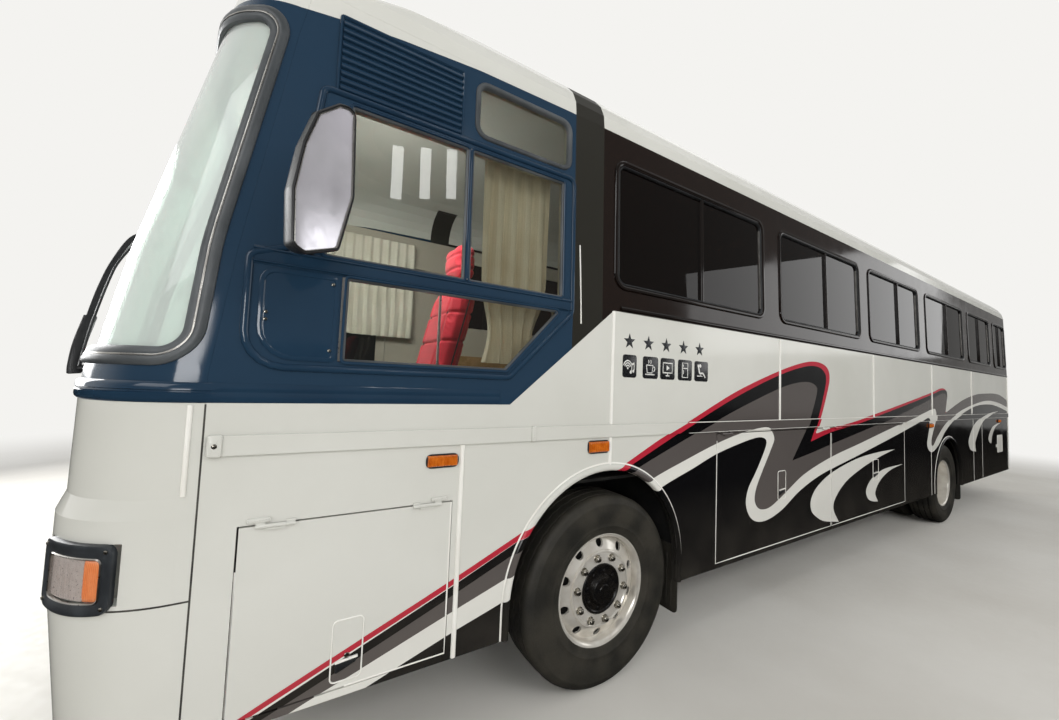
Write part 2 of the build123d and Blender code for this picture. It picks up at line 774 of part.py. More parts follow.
# Side marker lamps. Columns: front x, rear x, bottom z, top z
marker_depth = 14.0
marker_places = [
    (front_axle_x + 1034.0, front_axle_x + 892.0, waist_z - 127.0, waist_z - 69.0),
    (front_axle_x + 175.0, front_axle_x + 26.0, waist_z - 117.0, waist_z - 48.0),
    (rear_axle_x + 795.0, rear_axle_x + 655.0, waist_z - 117.0, waist_z - 59.0),
    (rear_seam_x + 708.0, rear_seam_x + 568.0, waist_z - 117.0, waist_z - 59.0),
]
with BuildPart() as marker_lamps:
    for side, places in ((1, marker_places), (-1, marker_places[1:])):
        ys = (side * (half_width + seam), side * (half_width + marker_depth))
        for front_x, rear_x, low, high in places:
            block((rear_x, front_x), ys, (low, high))
write(marker_lamps, "marker_lamps")

# Floor, and the lower platform under the driver with the stairwell left open
skin_inner_y = half_width - wall - seam
inside_y = (-skin_inner_y, skin_inner_y)
cab_y = (stair_y, skin_inner_y)
riser_x = (cab_rear_x - 30.0, cab_rear_x)
cab_floor_x = (cab_rear_x - 30.0, front_seam_x - 20.0)
with BuildPart() as floor_deck:
    block((rear_seam_x + 8.0, cab_rear_x), inside_y, (floor_z, floor_z + floor_thickness))
    block(riser_x, cab_y, (cab_floor_z, floor_z + 1.0))
    block(cab_floor_x, cab_y, (cab_floor_z, cab_floor_z + floor_thickness))
write(floor_deck, "floor_deck")

# Luggage bay between the axles: floor and two bulkheads
with BuildPart() as luggage_bay:
    block((bay_rear_x, bay_front_x), inside_y, (sill_z, sill_z + bay_floor))
    for x in (bay_rear_x, bay_front_x - bay_wall):
        block((x, x + bay_wall), inside_y, (sill_z, floor_z - seam))
write(luggage_bay, "luggage_bay")

# Chassis: front and rear rails with cross members
cross_half = 40.0
nose_x = half_length - 345.0
front_bay_cross_x = bay_front_x + 140.0
rear_bay_cross_x = bay_rear_x - 60.0
behind_axle_cross_x = (rear_axle_x + engine_x[1]) / 2 - 77.5
front_cross_xs = [front_bay_cross_x, front_axle_x + 745.0, nose_x]
rear_cross_xs = [rear_bay_cross_x, behind_axle_cross_x, engine_x[1] + 50.0, rear_wall_x + 365.0]
# Columns: rear end x, front end x, cross member x's
rail_runs = [
    (bay_front_x + seam, nose_x + cross_half, front_cross_xs),
    (rear_wall_x + 320.0, bay_rear_x - seam, rear_cross_xs),
]
# Columns: x, outer y
outriggers = [
    (nose_x, half_width - 365.0),
    (front_bay_cross_x, skin_inner_y),
    (behind_axle_cross_x, skin_inner_y),
    (rear_bay_cross_x, skin_inner_y),
]
with BuildPart() as chassis_frame:
    for low, high, crosses in rail_runs:
        for side in (1, -1):
            ys = (side * rail_inner_y, side * rail_outer_y)
            block((low, high), ys, (rail_bottom_z, rail_top_z))
        for x in crosses:
            span = (x - cross_half, x + cross_half)
            ys = (-rail_inner_y - 5.0, rail_inner_y + 5.0)
            block(span, ys, (rail_bottom_z + 20.0, rail_top_z - 20.0))
    for x, outer_y in outriggers:
        span = (x - cross_half, x + cross_half)
        for side in (1, -1):
            ys = (side * (rail_outer_y - 5.0), side * outer_y)
            block(span, ys, (rail_top_z - 120.0, rail_top_z))
write(chassis_frame, "chassis_frame")

# Engine, one plain block between the rear rails
with BuildPart() as engine_block:
    block(engine_x, (-rail_inner_y + seam, rail_inner_y - seam), engine_z)
write(engine_block, "engine_block")

# Front axle beam with its kingpin bosses and spring pads
with BuildPart() as front_axle:
    low, high = tyre_radius - beam_half_height, tyre_radius + beam_half_height
    xs = (front_axle_x - beam_half_width, front_axle_x + beam_half_width)
    block(xs, (-kingpin_y, kingpin_y), (low, high))
    for side in (1, -1):
        rod_z(front_axle_x, side * kingpin_y, boss_radius, low, high)
        ys = (side * rail_inner_y, side * rail_outer_y)
        block(xs, ys, (high - 1, rail_bottom_z - seam))
    for side in (1, -1):
        bore = kingpin_radius + pin_clearance
        rod_z(front_axle_x, side * kingpin_y, bore, low - 1, high + 1, Mode.SUBTRACT)
write(front_axle, "front_axle")

# Steering knuckles: two ears on a kingpin, and the stub axle
ear_radius = 50.0
plate_y = (kingpin_y + 62.0, kingpin_y + 86.0)
stub_end_y = front_wheel_y + 76.0
for side, name in ((1, "knuckle_left"), (-1, "knuckle_right")):
    with BuildPart() as steering_knuckle:
        low, high = tyre_radius - beam_half_height, tyre_radius + beam_half_height
        ear_low, ear_high = low - ear_gap - ear_thickness, high + ear_gap
        plate_x = (front_axle_x - 55.0, front_axle_x + 55.0)
        block(plate_x, [side * y for y in plate_y], (ear_low, ear_high + ear_thickness))
        for bottom in (ear_low, ear_high):
            top = bottom + ear_thickness
            rod_z(front_axle_x, side * kingpin_y, ear_radius, bottom, top)
            ear_x = (front_axle_x - ear_radius, front_axle_x + ear_radius)
            block(ear_x, (side * kingpin_y, side * (plate_y[0] + 1.0)), (bottom, top))
        rod_z(front_axle_x, side * kingpin_y, kingpin_radius, low - 20.0, high + 20.0)
        rod_y(front_axle_x, tyre_radius, stub_radius, side * (plate_y[1] - 6.0), side * stub_end_y)
    write(steering_knuckle, name)

# Rear axle: tube, differential and spring pads
rear_hub_y = (rear_inner_wheel_y - 137.0, rear_outer_wheel_y - 37.0)
rear_stub_y = rear_outer_wheel_y - 57.0
tube_y = rear_hub_y[0] - 6.0
with BuildPart() as rear_axle:
    rod_y(rear_axle_x, tyre_radius, axle_tube_radius, -tube_y, tube_y)
    rod_y(rear_axle_x, tyre_radius, rear_stub_radius, -rear_stub_y, rear_stub_y)
    rod_y(rear_axle_x, tyre_radius, differential_radius, -differential_half, differential_half)
    for side in (1, -1):
        ys = (side * rail_inner_y, side * rail_outer_y)
        xs = (rear_axle_x - 60.0, rear_axle_x + 60.0)
        block(xs, ys, (tyre_radius, rail_bottom_z - seam))
write(rear_axle, "rear_axle")


def tyre_outline(middle, side):
    """A tyre's (y, radius) section about its middle."""
    half = tyre_width / 2
    points = [
        (-rim_half_width, bead_radius),
        (-rim_half_width, bead_radius + 14.0),
        (-half, tyre_radius - 106.0),
        (-half + 10.0, tyre_radius - 26.0),
        (-half + 33.0, tyre_radius),
        (half - 33.0, tyre_radius),
        (half - 10.0, tyre_radius - 26.0),
        (half, tyre_radius - 106.0),
        (rim_half_width, bead_radius + 14.0),
        (rim_half_width, bead_radius),
    ]
    return [(side * (middle + y), r) for y, r in points]


def barrel(axle_x, middle, side):
    """A rim's barrel and its two flanges."""
    half = rim_half_width + seam
    for start, end, outer in (
        (-half, half, bead_radius - seam),
        (-half - rim_flange, -half, flange_radius),
        (half, half + rim_flange, flange_radius),
    ):
        corners = [(start, barrel_radius), (start, outer), (end, outer), (end, barrel_radius)]
        ring(axle_x, tyre_radius, [(side * (middle + y), r) for y, r in corners])


def hand_hole_cuts(axle_x, y0, y1, circle):
    """Round holes through a wheel's disc."""
    for index in range(hand_holes):
        angle = math.radians(360.0 / hand_holes * index)
        x = axle_x + circle * math.cos(angle)
        z = tyre_radius + circle * math.sin(angle)
        rod_y(x, z, hand_hole_radius, y0, y1, Mode.SUBTRACT)


# Wheel discs, each as (y, radius): the front one from its wheel's middle, the rear pair from
# the outer and the inner wheel's
cone_radius = bead_radius - 10.0
front_disc = [(84, 90), (98, 90), (98, 200), (60, cone_radius), (46, cone_radius), (84, 195)]
outer_disc = [
    (-169, 90),
    (-141, 90),
    (-141, 205),
    (-87, cone_radius),
    (-102, cone_radius),
    (-155, 215),
    (-169, 215),
]
inner_disc = [
    (twin_spacing - 169, 205),
    (twin_spacing - 153, 215),
    (102, cone_radius),
    (87, cone_radius),
]
front_hub_y = (front_wheel_y - 15.0, front_wheel_y + 98.0)
front_cap_y = (front_wheel_y + 97.0, front_wheel_y + 130.0)
rear_cap_y = (rear_outer_wheel_y - 38.0, rear_outer_wheel_y - 12.0)


def wheel_disc(axle_x, middle, side, outline):
    """A wheel's turned disc, its outline measured from the wheel's middle."""
    ring(axle_x, tyre_radius, [(side * (middle + y), r) for y, r in outline])


def hub(axle_x, side, span, radius, mode=Mode.ADD):
    """A hub, cap or bore on a wheel's axis."""
    rod_y(axle_x, tyre_radius, radius, side * span[0], side * span[1], mode)


for side, word in ((1, "left"), (-1, "right")):
    # Front wheel: tyre, and rim with a domed disc and hub
    with BuildPart() as tyre:
        ring(front_axle_x, tyre_radius, tyre_outline(front_wheel_y, side))
    write(tyre, f"tyre_front_{word}")
    with BuildPart() as rim:
        barrel(front_axle_x, front_wheel_y, side)
        wheel_disc(front_axle_x, front_wheel_y, side, front_disc)
        cuts = (side * (front_wheel_y + 23.0), side * (front_wheel_y + 123.0))
        hand_hole_cuts(front_axle_x, *cuts, front_hole_circle)
        hub(front_axle_x, side, front_hub_y, front_hub_radius)
        hub(front_axle_x, side, front_cap_y, 72.0)
        bore_y = (front_hub_y[0] - 1.0, stub_end_y + 5.0)
        hub(front_axle_x, side, bore_y, stub_radius + pin_clearance, Mode.SUBTRACT)
    write(rim, f"rim_front_{word}")
    # Rear twin wheels: two tyres, and both rims on one hub
    with BuildPart() as tyres:
        for middle in (rear_inner_wheel_y, rear_outer_wheel_y):
            ring(rear_axle_x, tyre_radius, tyre_outline(middle, side))
    write(tyres, f"tyres_rear_{word}")
    with BuildPart() as rims:
        for middle in (rear_inner_wheel_y, rear_outer_wheel_y):
            barrel(rear_axle_x, middle, side)
        wheel_disc(rear_axle_x, rear_outer_wheel_y, side, outer_disc)
        wheel_disc(rear_axle_x, rear_inner_wheel_y, side, inner_disc)
        cuts = (side * (rear_outer_wheel_y - 237.0), side * (rear_outer_wheel_y - 77.0))
        hand_hole_cuts(rear_axle_x, *cuts, rear_hole_circle)
        hub(rear_axle_x, side, rear_hub_y, rear_hub_radius)
        hub(rear_axle_x, side, rear_cap_y, 80.0)
        bore_y = (rear_hub_y[0] - 1.0, rear_stub_y + 6.0)
        hub(rear_axle_x, side, bore_y, rear_stub_radius + pin_clearance, Mode.SUBTRACT)
    write(rims, f"rims_rear_{word}")

# Wheel-arch liners, open below and outwards
# Columns: axle x, half length, top z
liner_places = [
    (front_axle_x, front_liner_reach, front_liner_top_z),
    (rear_axle_x, rear_liner_reach, rear_liner_top_z),
]
with BuildPart() as arch_liners:
    for side in (1, -1):
        for axle_x, reach, top in liner_places:
            middle = axle_x + arch_lead
            xs = (middle - reach, middle + reach)
            block(xs, (side * liner_inner_y, side * skin_inner_y), (top - liner, top))
            for x in (middle - reach, middle + reach - liner):
                block((x, x + liner), (side * liner_inner_y, side * skin_inner_y), (sill_z, top))
            cheek_y = (side * liner_inner_y, side * (liner_inner_y + liner))
            block(xs, cheek_y, (rail_top_z + 10.0, top))
write(arch_liners, "arch_liners")

# Dashboard with the steering column, and the steering wheel on the column's end
dash_z = cab_floor_z + floor_thickness
dash_top_z = dash_z + 410.0
dash_x = (half_length - 755.0, half_length - 425.0)
dash_y = (stair_y + 50.0, half_width - 115.0)
driver_y = half_width - 605.0
column_radius = 30.0
column_lean = 40.0
column_length = 330.0
column_middle = (half_length - 675.0, driver_y, dash_top_z + 80.0)
with BuildPart() as dashboard:
    block(dash_x, dash_y, (dash_z + seam, dash_top_z))
    with Locations(Location(column_middle, (0, -column_lean, 0))):
        Cylinder(column_radius, column_length)
write(dashboard, "dashboard")

steering_radius = 225.0
steering_rim = 30.0
steering_boss = 55.0
steering_thickness = 28.0
spoke = (170.0, 36.0)
column_angle = math.radians(column_lean)
wheel_offset = column_length / 2 + 0.3
column_top = (
    column_middle[0] - math.sin(column_angle) * wheel_offset,
    driver_y,
    column_middle[2] + math.cos(column_angle) * wheel_offset,
)
with BuildPart() as steering_wheel:
    upward = (-math.sin(column_angle), 0, math.cos(column_angle))
    with BuildSketch(Plane(column_top, x_dir=(0, 1, 0), z_dir=upward)):
        Circle(steering_radius)
        Circle(steering_radius - steering_rim, mode=Mode.SUBTRACT)
        Circle(steering_boss)
        for turn in (90, 210, 330):
            with Locations(Location((0, 0), turn)):
                with Locations((steering_boss + 65.0, 0)):
                    Rectangle(*spoke)
    extrude(amount=steering_thickness)
write(steering_wheel, "steering_wheel")

# Driver's seat: pedestal, cushion, back and headrest
soft_gap = 0.3
cushion_z = dash_z + 460.0
cushion_thickness = 130.0
cushion_x = (half_length - 1493.0, half_length - 1025.0)
back_x = (cushion_x[0] - 130.0, cushion_x[0] - soft_gap)
back_top_z = cushion_z + 570.0
headrest_top_z = back_top_z + 220.0
pedestal_x = (cushion_x[0] + 80.0, cushion_x[1] - 80.0)
# Columns: x span, half width, z span
seat_blocks = [
    (pedestal_x, 150.0, (dash_z + seam, cushion_z - cushion_thickness - soft_gap)),
    (cushion_x, 240.0, (cushion_z - cushion_thickness, cushion_z)),
    (back_x, 240.0, (cushion_z - 110.0, back_top_z)),
    (back_x, 140.0, (back_top_z + soft_gap, headrest_top_z)),
]
with BuildPart() as seats:
    for xs, half, zs in seat_blocks:
        block(xs, (driver_y - half, driver_y + half), zs)
write(seats, "seats")

# Curtains, hung under their rails. Columns: side, rear x, front x, hem z
curtain_y = (half_width - 135.0, half_width - 100.0)
curtain_places = [
    (1, half_length - 1865.0, half_length - 1465.0, 1700.0),
    (-1, half_length - 1795.0, half_length - 1205.0, 2000.0),
]
with BuildPart() as curtains:
    for side, rear_x, front_x, hem_z in curtain_places:
        ys = [side * y for y in curtain_y]
        block((rear_x, front_x), ys, (hem_z, curtain_rail_z[0] - soft_gap))
write(curtains, "curtains")

# Furniture along both sides of the aisle. Columns: rear x, front x, top z
unit_y = (half_width - 705.0, half_width - 85.0)
unit_places = [
    (cab_rear_x - 1700.0, cab_rear_x - 400.0, 1830.0),
    (cab_rear_x - 4000.0, cab_rear_x - 2000.0, 2230.0),
    (rear_seam_x + 408.0, rear_seam_x + 2208.0, 1900.0),
]
with BuildPart() as cabin_units:
    base = floor_z + floor_thickness + seam
    for side in (1, -1):
        for rear_x, front_x, top in unit_places:
            block((rear_x, front_x), [side * y for y in unit_y], (base, top))
write(cabin_units, "cabin_units")

# Mirrors on both front pillars
mirror_y = (half_width + 160.0, half_width + 360.0)
mirror_z = (1990.0, 2450.0)
mirror_depth = 100.0
arm_inset = 35.0
arm_size = (30.0, 28.0)
# Columns: side, rear face x. The right one stands ahead of the entry door's sweep.
mirror_places = [(1, half_length - 780.0), (-1, door_front_x + 35.0)]
# Columns: bottom z, how far the foot is inside the widest line
mirror_arms = [(mirror_z[1] - 50.0, 9.3), (mirror_z[0] + 60.0, 0.2)]
with BuildPart() as mirrors:
    for side, rear_x in mirror_places:
        block((rear_x, rear_x + mirror_depth), [side * y for y in mirror_y], mirror_z)
        arm_x = (rear_x + arm_inset, rear_x + arm_inset + arm_size[0])
        for low, inset in mirror_arms:
            ys = (side * (half_width - inset), side * (mirror_y[0] + 5.0))
            block(arm_x, ys, (low, low + arm_size[1]))
write(mirrors, "mirrors")
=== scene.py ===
import json
import math

import bmesh
import bpy
import numpy as np
from mathutils import Matrix

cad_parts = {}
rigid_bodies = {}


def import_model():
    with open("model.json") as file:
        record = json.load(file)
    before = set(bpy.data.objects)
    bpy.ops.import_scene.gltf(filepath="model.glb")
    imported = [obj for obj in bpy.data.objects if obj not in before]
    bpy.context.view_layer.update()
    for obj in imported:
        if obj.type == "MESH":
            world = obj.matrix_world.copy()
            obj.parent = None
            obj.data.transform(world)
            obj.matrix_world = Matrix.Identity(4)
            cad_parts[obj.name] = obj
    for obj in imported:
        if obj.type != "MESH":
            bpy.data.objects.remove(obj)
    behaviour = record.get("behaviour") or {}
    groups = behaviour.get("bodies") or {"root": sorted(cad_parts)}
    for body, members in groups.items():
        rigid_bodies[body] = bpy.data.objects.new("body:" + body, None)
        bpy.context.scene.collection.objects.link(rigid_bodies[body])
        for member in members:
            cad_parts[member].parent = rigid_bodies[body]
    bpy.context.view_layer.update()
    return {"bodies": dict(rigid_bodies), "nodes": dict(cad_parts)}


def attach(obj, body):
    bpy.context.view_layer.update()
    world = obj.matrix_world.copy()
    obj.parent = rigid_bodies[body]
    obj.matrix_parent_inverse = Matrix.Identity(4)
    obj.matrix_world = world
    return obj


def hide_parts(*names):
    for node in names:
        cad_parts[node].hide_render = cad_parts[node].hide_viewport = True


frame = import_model()
cadNodes = frame["nodes"]
print("frame loaded:", len(cadNodes), "nodes")


# ---- small helpers

def linearColour(hexColour):
    # sRGB hex to linear light: c / 12.92 where dark, else ((c + 0.055) / 1.055) ** 2.4
    channels = np.array([int(hexColour[i:i + 2], 16) / 255 for i in (0, 2, 4)])
    lit = np.where(channels <= 0.04045, channels / 12.92, ((channels + 0.055) / 1.055) ** 2.4)
    return (*lit.tolist(), 1.0)


leadOption = {"Math": "operation", "VectorMath": "operation", "Mix": "data_type", "MapRange": "interpolation_type"}
mixSlots = {"FLOAT": (0, 2, 3), "RGBA": (0, 6, 7)}


def addNode(tree, kind, lead="", *ordered, **named):
    # kind is the type without its ShaderNode, lead its main option or a dictionary of several; the values go to
    # the sockets in order or by name, each a number, a colour, or a node or output to link
    node = tree.nodes.new("ShaderNode" + kind)
    options = lead if isinstance(lead, dict) else {leadOption[kind]: lead} if lead else {}
    for key, value in options.items():
        setattr(node, key, value)
    slots = mixSlots[lead] if kind == "Mix" else range(len(ordered))
    for key, value in [*zip(slots, ordered), *((key.replace("_", " "), value) for key, value in named.items())]:
        if isinstance(value, bpy.types.Node):
            value = next(o for o in value.outputs if o.enabled)
        if isinstance(value, bpy.types.NodeSocket):
            tree.links.new(node.inputs[key], value)
        else:
            node.inputs[key].default_value = value
    return node


def newMaterial(name):
    material = bpy.data.materials.new(name)
    material.use_nodes = True
    material.node_tree.nodes.clear()
    return material, material.node_tree


def surfaceFinish(name, look):
    # the colour wanders between two tones over patchMm, roughness and bump follow a grain of grainMm
    material, tree = newMaterial(name)
    place = addNode(tree, "TexCoord").outputs["Object"]
    patches = addNode(tree, "TexNoise", Vector=place, Scale=1000 / look["patchMm"], Detail=3)
    grain = addNode(tree, "TexNoise", Vector=place, Scale=1000 / look["grainMm"], Detail=3)
    tone = addNode(tree, "MapRange", "LINEAR", patches, 0.35, 0.65)
    colour = addNode(tree, "Mix", "RGBA", tone, linearColour(look["colour"]), linearColour(look["second"]))
    low, high = look["roughness"]
    rough = addNode(tree, "MapRange", "LINEAR", grain, 0.3, 0.7, low, high)
    bump = addNode(tree, "Bump", Strength=1.0, Distance=look["depthMm"] / 1000, Height=grain)
    shader = addNode(tree, "BsdfPrincipled", Base_Color=colour, Roughness=rough, Normal=bump)
    for socket, value in look.get("sockets", {}).items():
        shader.inputs[socket].default_value = value
    addNode(tree, "OutputMaterial", Surface=shader)
    return material


# ---- camera at the photograph's place

photoCamera = {"place": (5.234, 2.925, 1.613), "yaw": 31.74, "pitch": 3.16, "roll": 2.24, "lens": 13.854}


def aimCamera(look):
    # the view axis turns from -Y towards -X by yaw and up by pitch; the frame then rolls about it
    yaw, pitch, roll = (math.radians(look[k]) for k in ("yaw", "pitch", "roll"))
    level = np.array([-math.sin(yaw), -math.cos(yaw), 0.0])
    across = np.array([-math.cos(yaw), math.sin(yaw), 0.0])
    ahead = level * math.cos(pitch) + np.array([0, 0, math.sin(pitch)])
    above = np.array([0, 0, math.cos(pitch)]) - level * math.sin(pitch)
    right = across * math.cos(roll) + above * math.sin(roll)
    upward = above * math.cos(roll) - across * math.sin(roll)
    data = bpy.data.cameras.new("photoCamera")
    data.sensor_width, data.lens = 36.0, look["lens"]
    data.clip_start, data.clip_end = 0.05, 200.0
    camera = bpy.data.objects.new("photoCamera", data)
    bpy.context.scene.collection.objects.link(camera)
    matrix = np.eye(4)
    matrix[:3, 0], matrix[:3, 1], matrix[:3, 2], matrix[:3, 3] = right, upward, -ahead, look["place"]
    camera.matrix_world = Matrix(matrix.tolist())
    bpy.context.scene.camera = camera


aimCamera(photoCamera)
print("camera set")

# ---- floor, backdrop and lamps

studio = {
    "floor": "e4e2dc", "floorSecond": "d8d5ce", "mirrored": "24221f", "floorSize": 60.0,
    "fadeFrom": 8.0, "fadeTo": 15.0,
    "worldLight": 0.46, "farSide": 1.0, "nearSide": 0.16,
    # place, size, strength in watts, aim, and whether gloss mirrors it
    "lamps": [
        ((1.0, 9.0, 6.0), (10.0, 3.0), 360.0, (0.0, 1.2, 1.4), False),
        ((10.5, 5.0, 5.5), (4.0, 4.0), 125.0, (5.5, 0.5, 1.5), True),
        ((-3.0, 0.0, 9.0), (12.0, 4.0), 30.0, (-1.0, 0.0, 2.0), True),
        ((9.5, -4.5, 3.6), (5.0, 4.0), 460.0, (4.6, 0.5, 1.9), True),
        ((7.2, 5.5, 2.0), (1.6, 1.0), 42.0, (4.4, 0.9, 2.1), True),
        ((3.0, 9.5, 7.1), (0.26, 1.2), 7.0, (4.7, 1.2, 2.5), True),
        ((2.3, 9.5, 7.3), (0.26, 1.2), 7.0, (4.7, 1.2, 2.5), True),
        ((1.6, 9.5, 7.5), (0.26, 1.2), 7.0, (4.7, 1.2, 2.5), True),
        ((2.0, 5.0, 9.5), (8.0, 0.5), 34.0, (2.0, 1.2, 2.4), True),
        ((-9.5, 6.2, 4.6), (7.0, 3.4), 95.0, (-1.0, 1.2, 2.4), True),
    ],
    # a small lamp under the cab's ceiling
    "cabLamp": ((5.00, 0.80, 2.72), (0.8, 0.5), 34.0, (4.35, -0.60, 2.05), False),
}


def makeStudio(look):
    scene = bpy.context.scene
    scene.view_settings.view_transform = "Standard"
    # the world lights softly, and shows white to the camera, glass and gloss on the far side
    world = bpy.data.worlds.new("studioWorld")
    scene.world = world
    world.use_nodes = True
    tree = world.node_tree
    tree.nodes.clear()
    path = addNode(tree, "LightPath")
    ways = addNode(tree, "SeparateXYZ", "", addNode(tree, "TexCoord").outputs["Generated"])
    shade = addNode(tree, "MapRange", "SMOOTHSTEP", ways.outputs["Y"], -0.35, 0.35, look["farSide"], look["nearSide"])
    seen = addNode(tree, "Math", "MAXIMUM", path.outputs["Is Camera Ray"], path.outputs["Is Transmission Ray"])
    glossy = addNode(tree, "Mix", "FLOAT", path.outputs["Is Glossy Ray"], look["worldLight"], shade)
    strength = addNode(tree, "Mix", "FLOAT", seen, glossy, 1.0)
    lit = addNode(tree, "Background", Color=linearColour("f4f3f0"), Strength=strength)
    addNode(tree, "OutputWorld", Surface=lit)
    # floor: pale power-floated concrete, slightly uneven in tone
    half = look["floorSize"] / 2
    mesh = bpy.data.meshes.new("floor")
    mesh.from_pydata([(-half, -half, 0), (half, -half, 0), (half, half, 0), (-half, half, 0)], [], [(0, 1, 2, 3)])
    floor = bpy.data.objects.new("floor", mesh)
    scene.collection.objects.link(floor)
    concrete = surfaceFinish("floorConcrete", {
        "colour": look["floor"], "second": look["floorSecond"], "patchMm": 1400, "grainMm": 60,
        "roughness": (0.45, 0.7), "depthMm": 0.3})
    mesh.materials.append(concrete)
    # far from the coach the floor turns to the backdrop's white, for what looks straight at it
    tree = concrete.node_tree
    output = next(node for node in tree.nodes if node.type == "OUTPUT_MATERIAL")
    surface = output.inputs["Surface"].links[0].from_socket
    # paint and chrome mirror a darker hall floor than the camera sees
    deep = addNode(tree, "BsdfDiffuse", Color=linearColour(look["mirrored"]))
    surface = addNode(tree, "MixShader", "", addNode(tree, "LightPath").outputs["Is Glossy Ray"], surface, deep)
    away = addNode(tree, "VectorMath", "LENGTH", addNode(tree, "TexCoord").outputs["Object"])
    fade = addNode(tree, "MapRange", "SMOOTHSTEP", away.outputs["Value"], look["fadeFrom"], look["fadeTo"], 0.0, 1.0)
    seenFade = addNode(tree, "Math", "MULTIPLY", fade, addNode(tree, "LightPath").outputs["Is Camera Ray"])
    white = addNode(tree, "Emission", Color=linearColour("f4f3f0"), Strength=1.0)
    blend = addNode(tree, "MixShader", "", seenFade, surface, white)
    tree.links.new(output.inputs["Surface"], blend.outputs[0])
    for index, (place, size, power, aim, mirrored) in enumerate(look["lamps"] + [look["cabLamp"]]):
        data = bpy.data.lights.new(f"softbox{index}", "AREA")
        data.shape, data.size, data.size_y, data.energy = "RECTANGLE", size[0], size[1], power
        lamp = bpy.data.objects.new(f"softbox{index}", data)
        scene.collection.objects.link(lamp)
        back = np.array(place) - np.array(aim)
        back = back / np.linalg.norm(back)
        across = np.cross([0, 0, 1], back)
        across = across / np.linalg.norm(across)
        matrix = np.eye(4)
        matrix[:3, 0], matrix[:3, 1], matrix[:3, 2], matrix[:3, 3] = across, np.cross(back, across), back, place
        lamp.matrix_world = Matrix(matrix.tolist())
        lamp.visible_camera, lamp.visible_glossy = False, mirrored


makeStudio(studio)
print("studio ready")

# ---- coach paint: two-pack polyurethane over steel, sprayed, so a deep gloss with faint orange peel;
# the dark mask, window band and swoosh livery are masked and sprayed colours of the same paint

paint = {
    "body": "d3d3cd", "bodyShade": "c9c9c2", "mask": "20364a", "band": "1a110d", "olive": "211f17",
    "red": "b3283a", "black": "0c0c0e", "grey": "575250", "ribbon": "dddcd6", "inside": "b9b2a4",
    "under": "171614", "lineWidth": 0.017, "roadDust": "8d867a",
}
stationLean = 1.2
# the side wall in metres: half the width, where the band starts and the wall leans in, the lean, and the mask's foot
wallHalf, bandFoot, wallLean, maskFoot = 1.265, 2.027, 0.02621, 1.507
chunkEdges = [-6.2, -4.2, -2.7, -0.5, 1.3, 4.5]

# edges of the side's swoosh as (x, z) in metres, rearwards; a new list starts at each sharp corner
rearSweep = [(-2.16, 1.431), (-2.9, 1.595), (-3.55, 1.685), (-4.1, 1.717), (-5.0, 1.717), (-5.8, 1.586)]
redTop = [
    [(5.45, 0.4), (5.27, 0.481), (5.0, 0.59), (4.57, 0.76), (4.17, 0.928), (3.62, 1.154), (3.28, 1.304),
     (3.0, 1.411), (2.5, 1.606), (1.93, 1.778), (1.53, 1.868), (1.29, 1.882), (1.13, 1.839), (1.09, 1.742),
     (1.16, 1.574), (1.25, 1.412), (1.35, 1.275)],
    [(1.35, 1.275), (1.06, 1.319), (0.68, 1.358), (0.12, 1.43), (-0.66, 1.54), (-1.62, 1.682), (-1.97, 1.742),
     (-2.16, 1.735), (-2.24, 1.67), (-2.23, 1.6), (-2.16, 1.431)],
    rearSweep,
]
redLow = [
    [(5.45, 0.385), (5.27, 0.462), (5.0, 0.568), (4.57, 0.735), (4.17, 0.9), (3.62, 1.124), (3.0, 1.378),
     (2.45, 1.585), (1.93, 1.745), (1.55, 1.83), (1.33, 1.845), (1.2, 1.81), (1.155, 1.735), (1.22, 1.56),
     (1.31, 1.39), (1.43, 1.215)],
    [(1.43, 1.215), (1.06, 1.281), (0.68, 1.325), (0.12, 1.4), (-0.66, 1.512), (-1.62, 1.655), (-1.97, 1.715),
     (-2.2, 1.72), (-2.25, 1.66), (-2.23, 1.6), (-2.16, 1.431)],
    rearSweep,
]
greyTop = [
    [(5.4, 0.385), (5.22, 0.448), (4.89, 0.569), (4.56, 0.696), (4.2, 0.84), (3.7, 1.045), (3.41, 1.167),
     (2.75, 1.395), (2.39, 1.511), (1.93, 1.642), (1.67, 1.693), (1.47, 1.707), (1.35, 1.682), (1.32, 1.631),
     (1.39, 1.485), (1.48, 1.344), (1.62, 1.196), (1.73, 1.079)],
    [(1.73, 1.079), (1.44, 1.118), (1.06, 1.176), (0.46, 1.262), (-0.57, 1.42), (-1.6, 1.6), (-2.05, 1.68),
     (-2.24, 1.65), (-2.23, 1.6), (-2.16, 1.431)],
    rearSweep,
]
ribbonTop = [
    [(5.3, 0.37), (5.12, 0.446), (4.91, 0.514), (4.57, 0.626), (4.19, 0.75), (3.75, 0.915), (3.35, 1.073),
     (3.03, 1.17), (2.71, 1.258), (2.43, 1.317), (2.21, 1.348), (2.07, 1.34), (2.0, 1.264), (2.05, 1.177),
     (2.16, 1.033), (2.24, 0.916), (2.26, 0.833), (2.22, 0.775), (2.14, 0.752), (2.02, 0.767), (1.79, 0.858),
     (1.52, 0.962), (1.06, 1.065), (0.46, 1.157), (-0.28, 1.273), (-1.2, 1.41), (-1.68, 1.482), (-1.78, 1.45),
     (-1.79, 1.357), (-1.67, 1.208), (-1.585, 1.075), (-1.66, 1.035), (-1.86, 1.153), (-2.24, 1.315),
     (-2.99, 1.478), (-4.09, 1.6), (-4.9, 1.585), (-5.8, 1.479)],
]
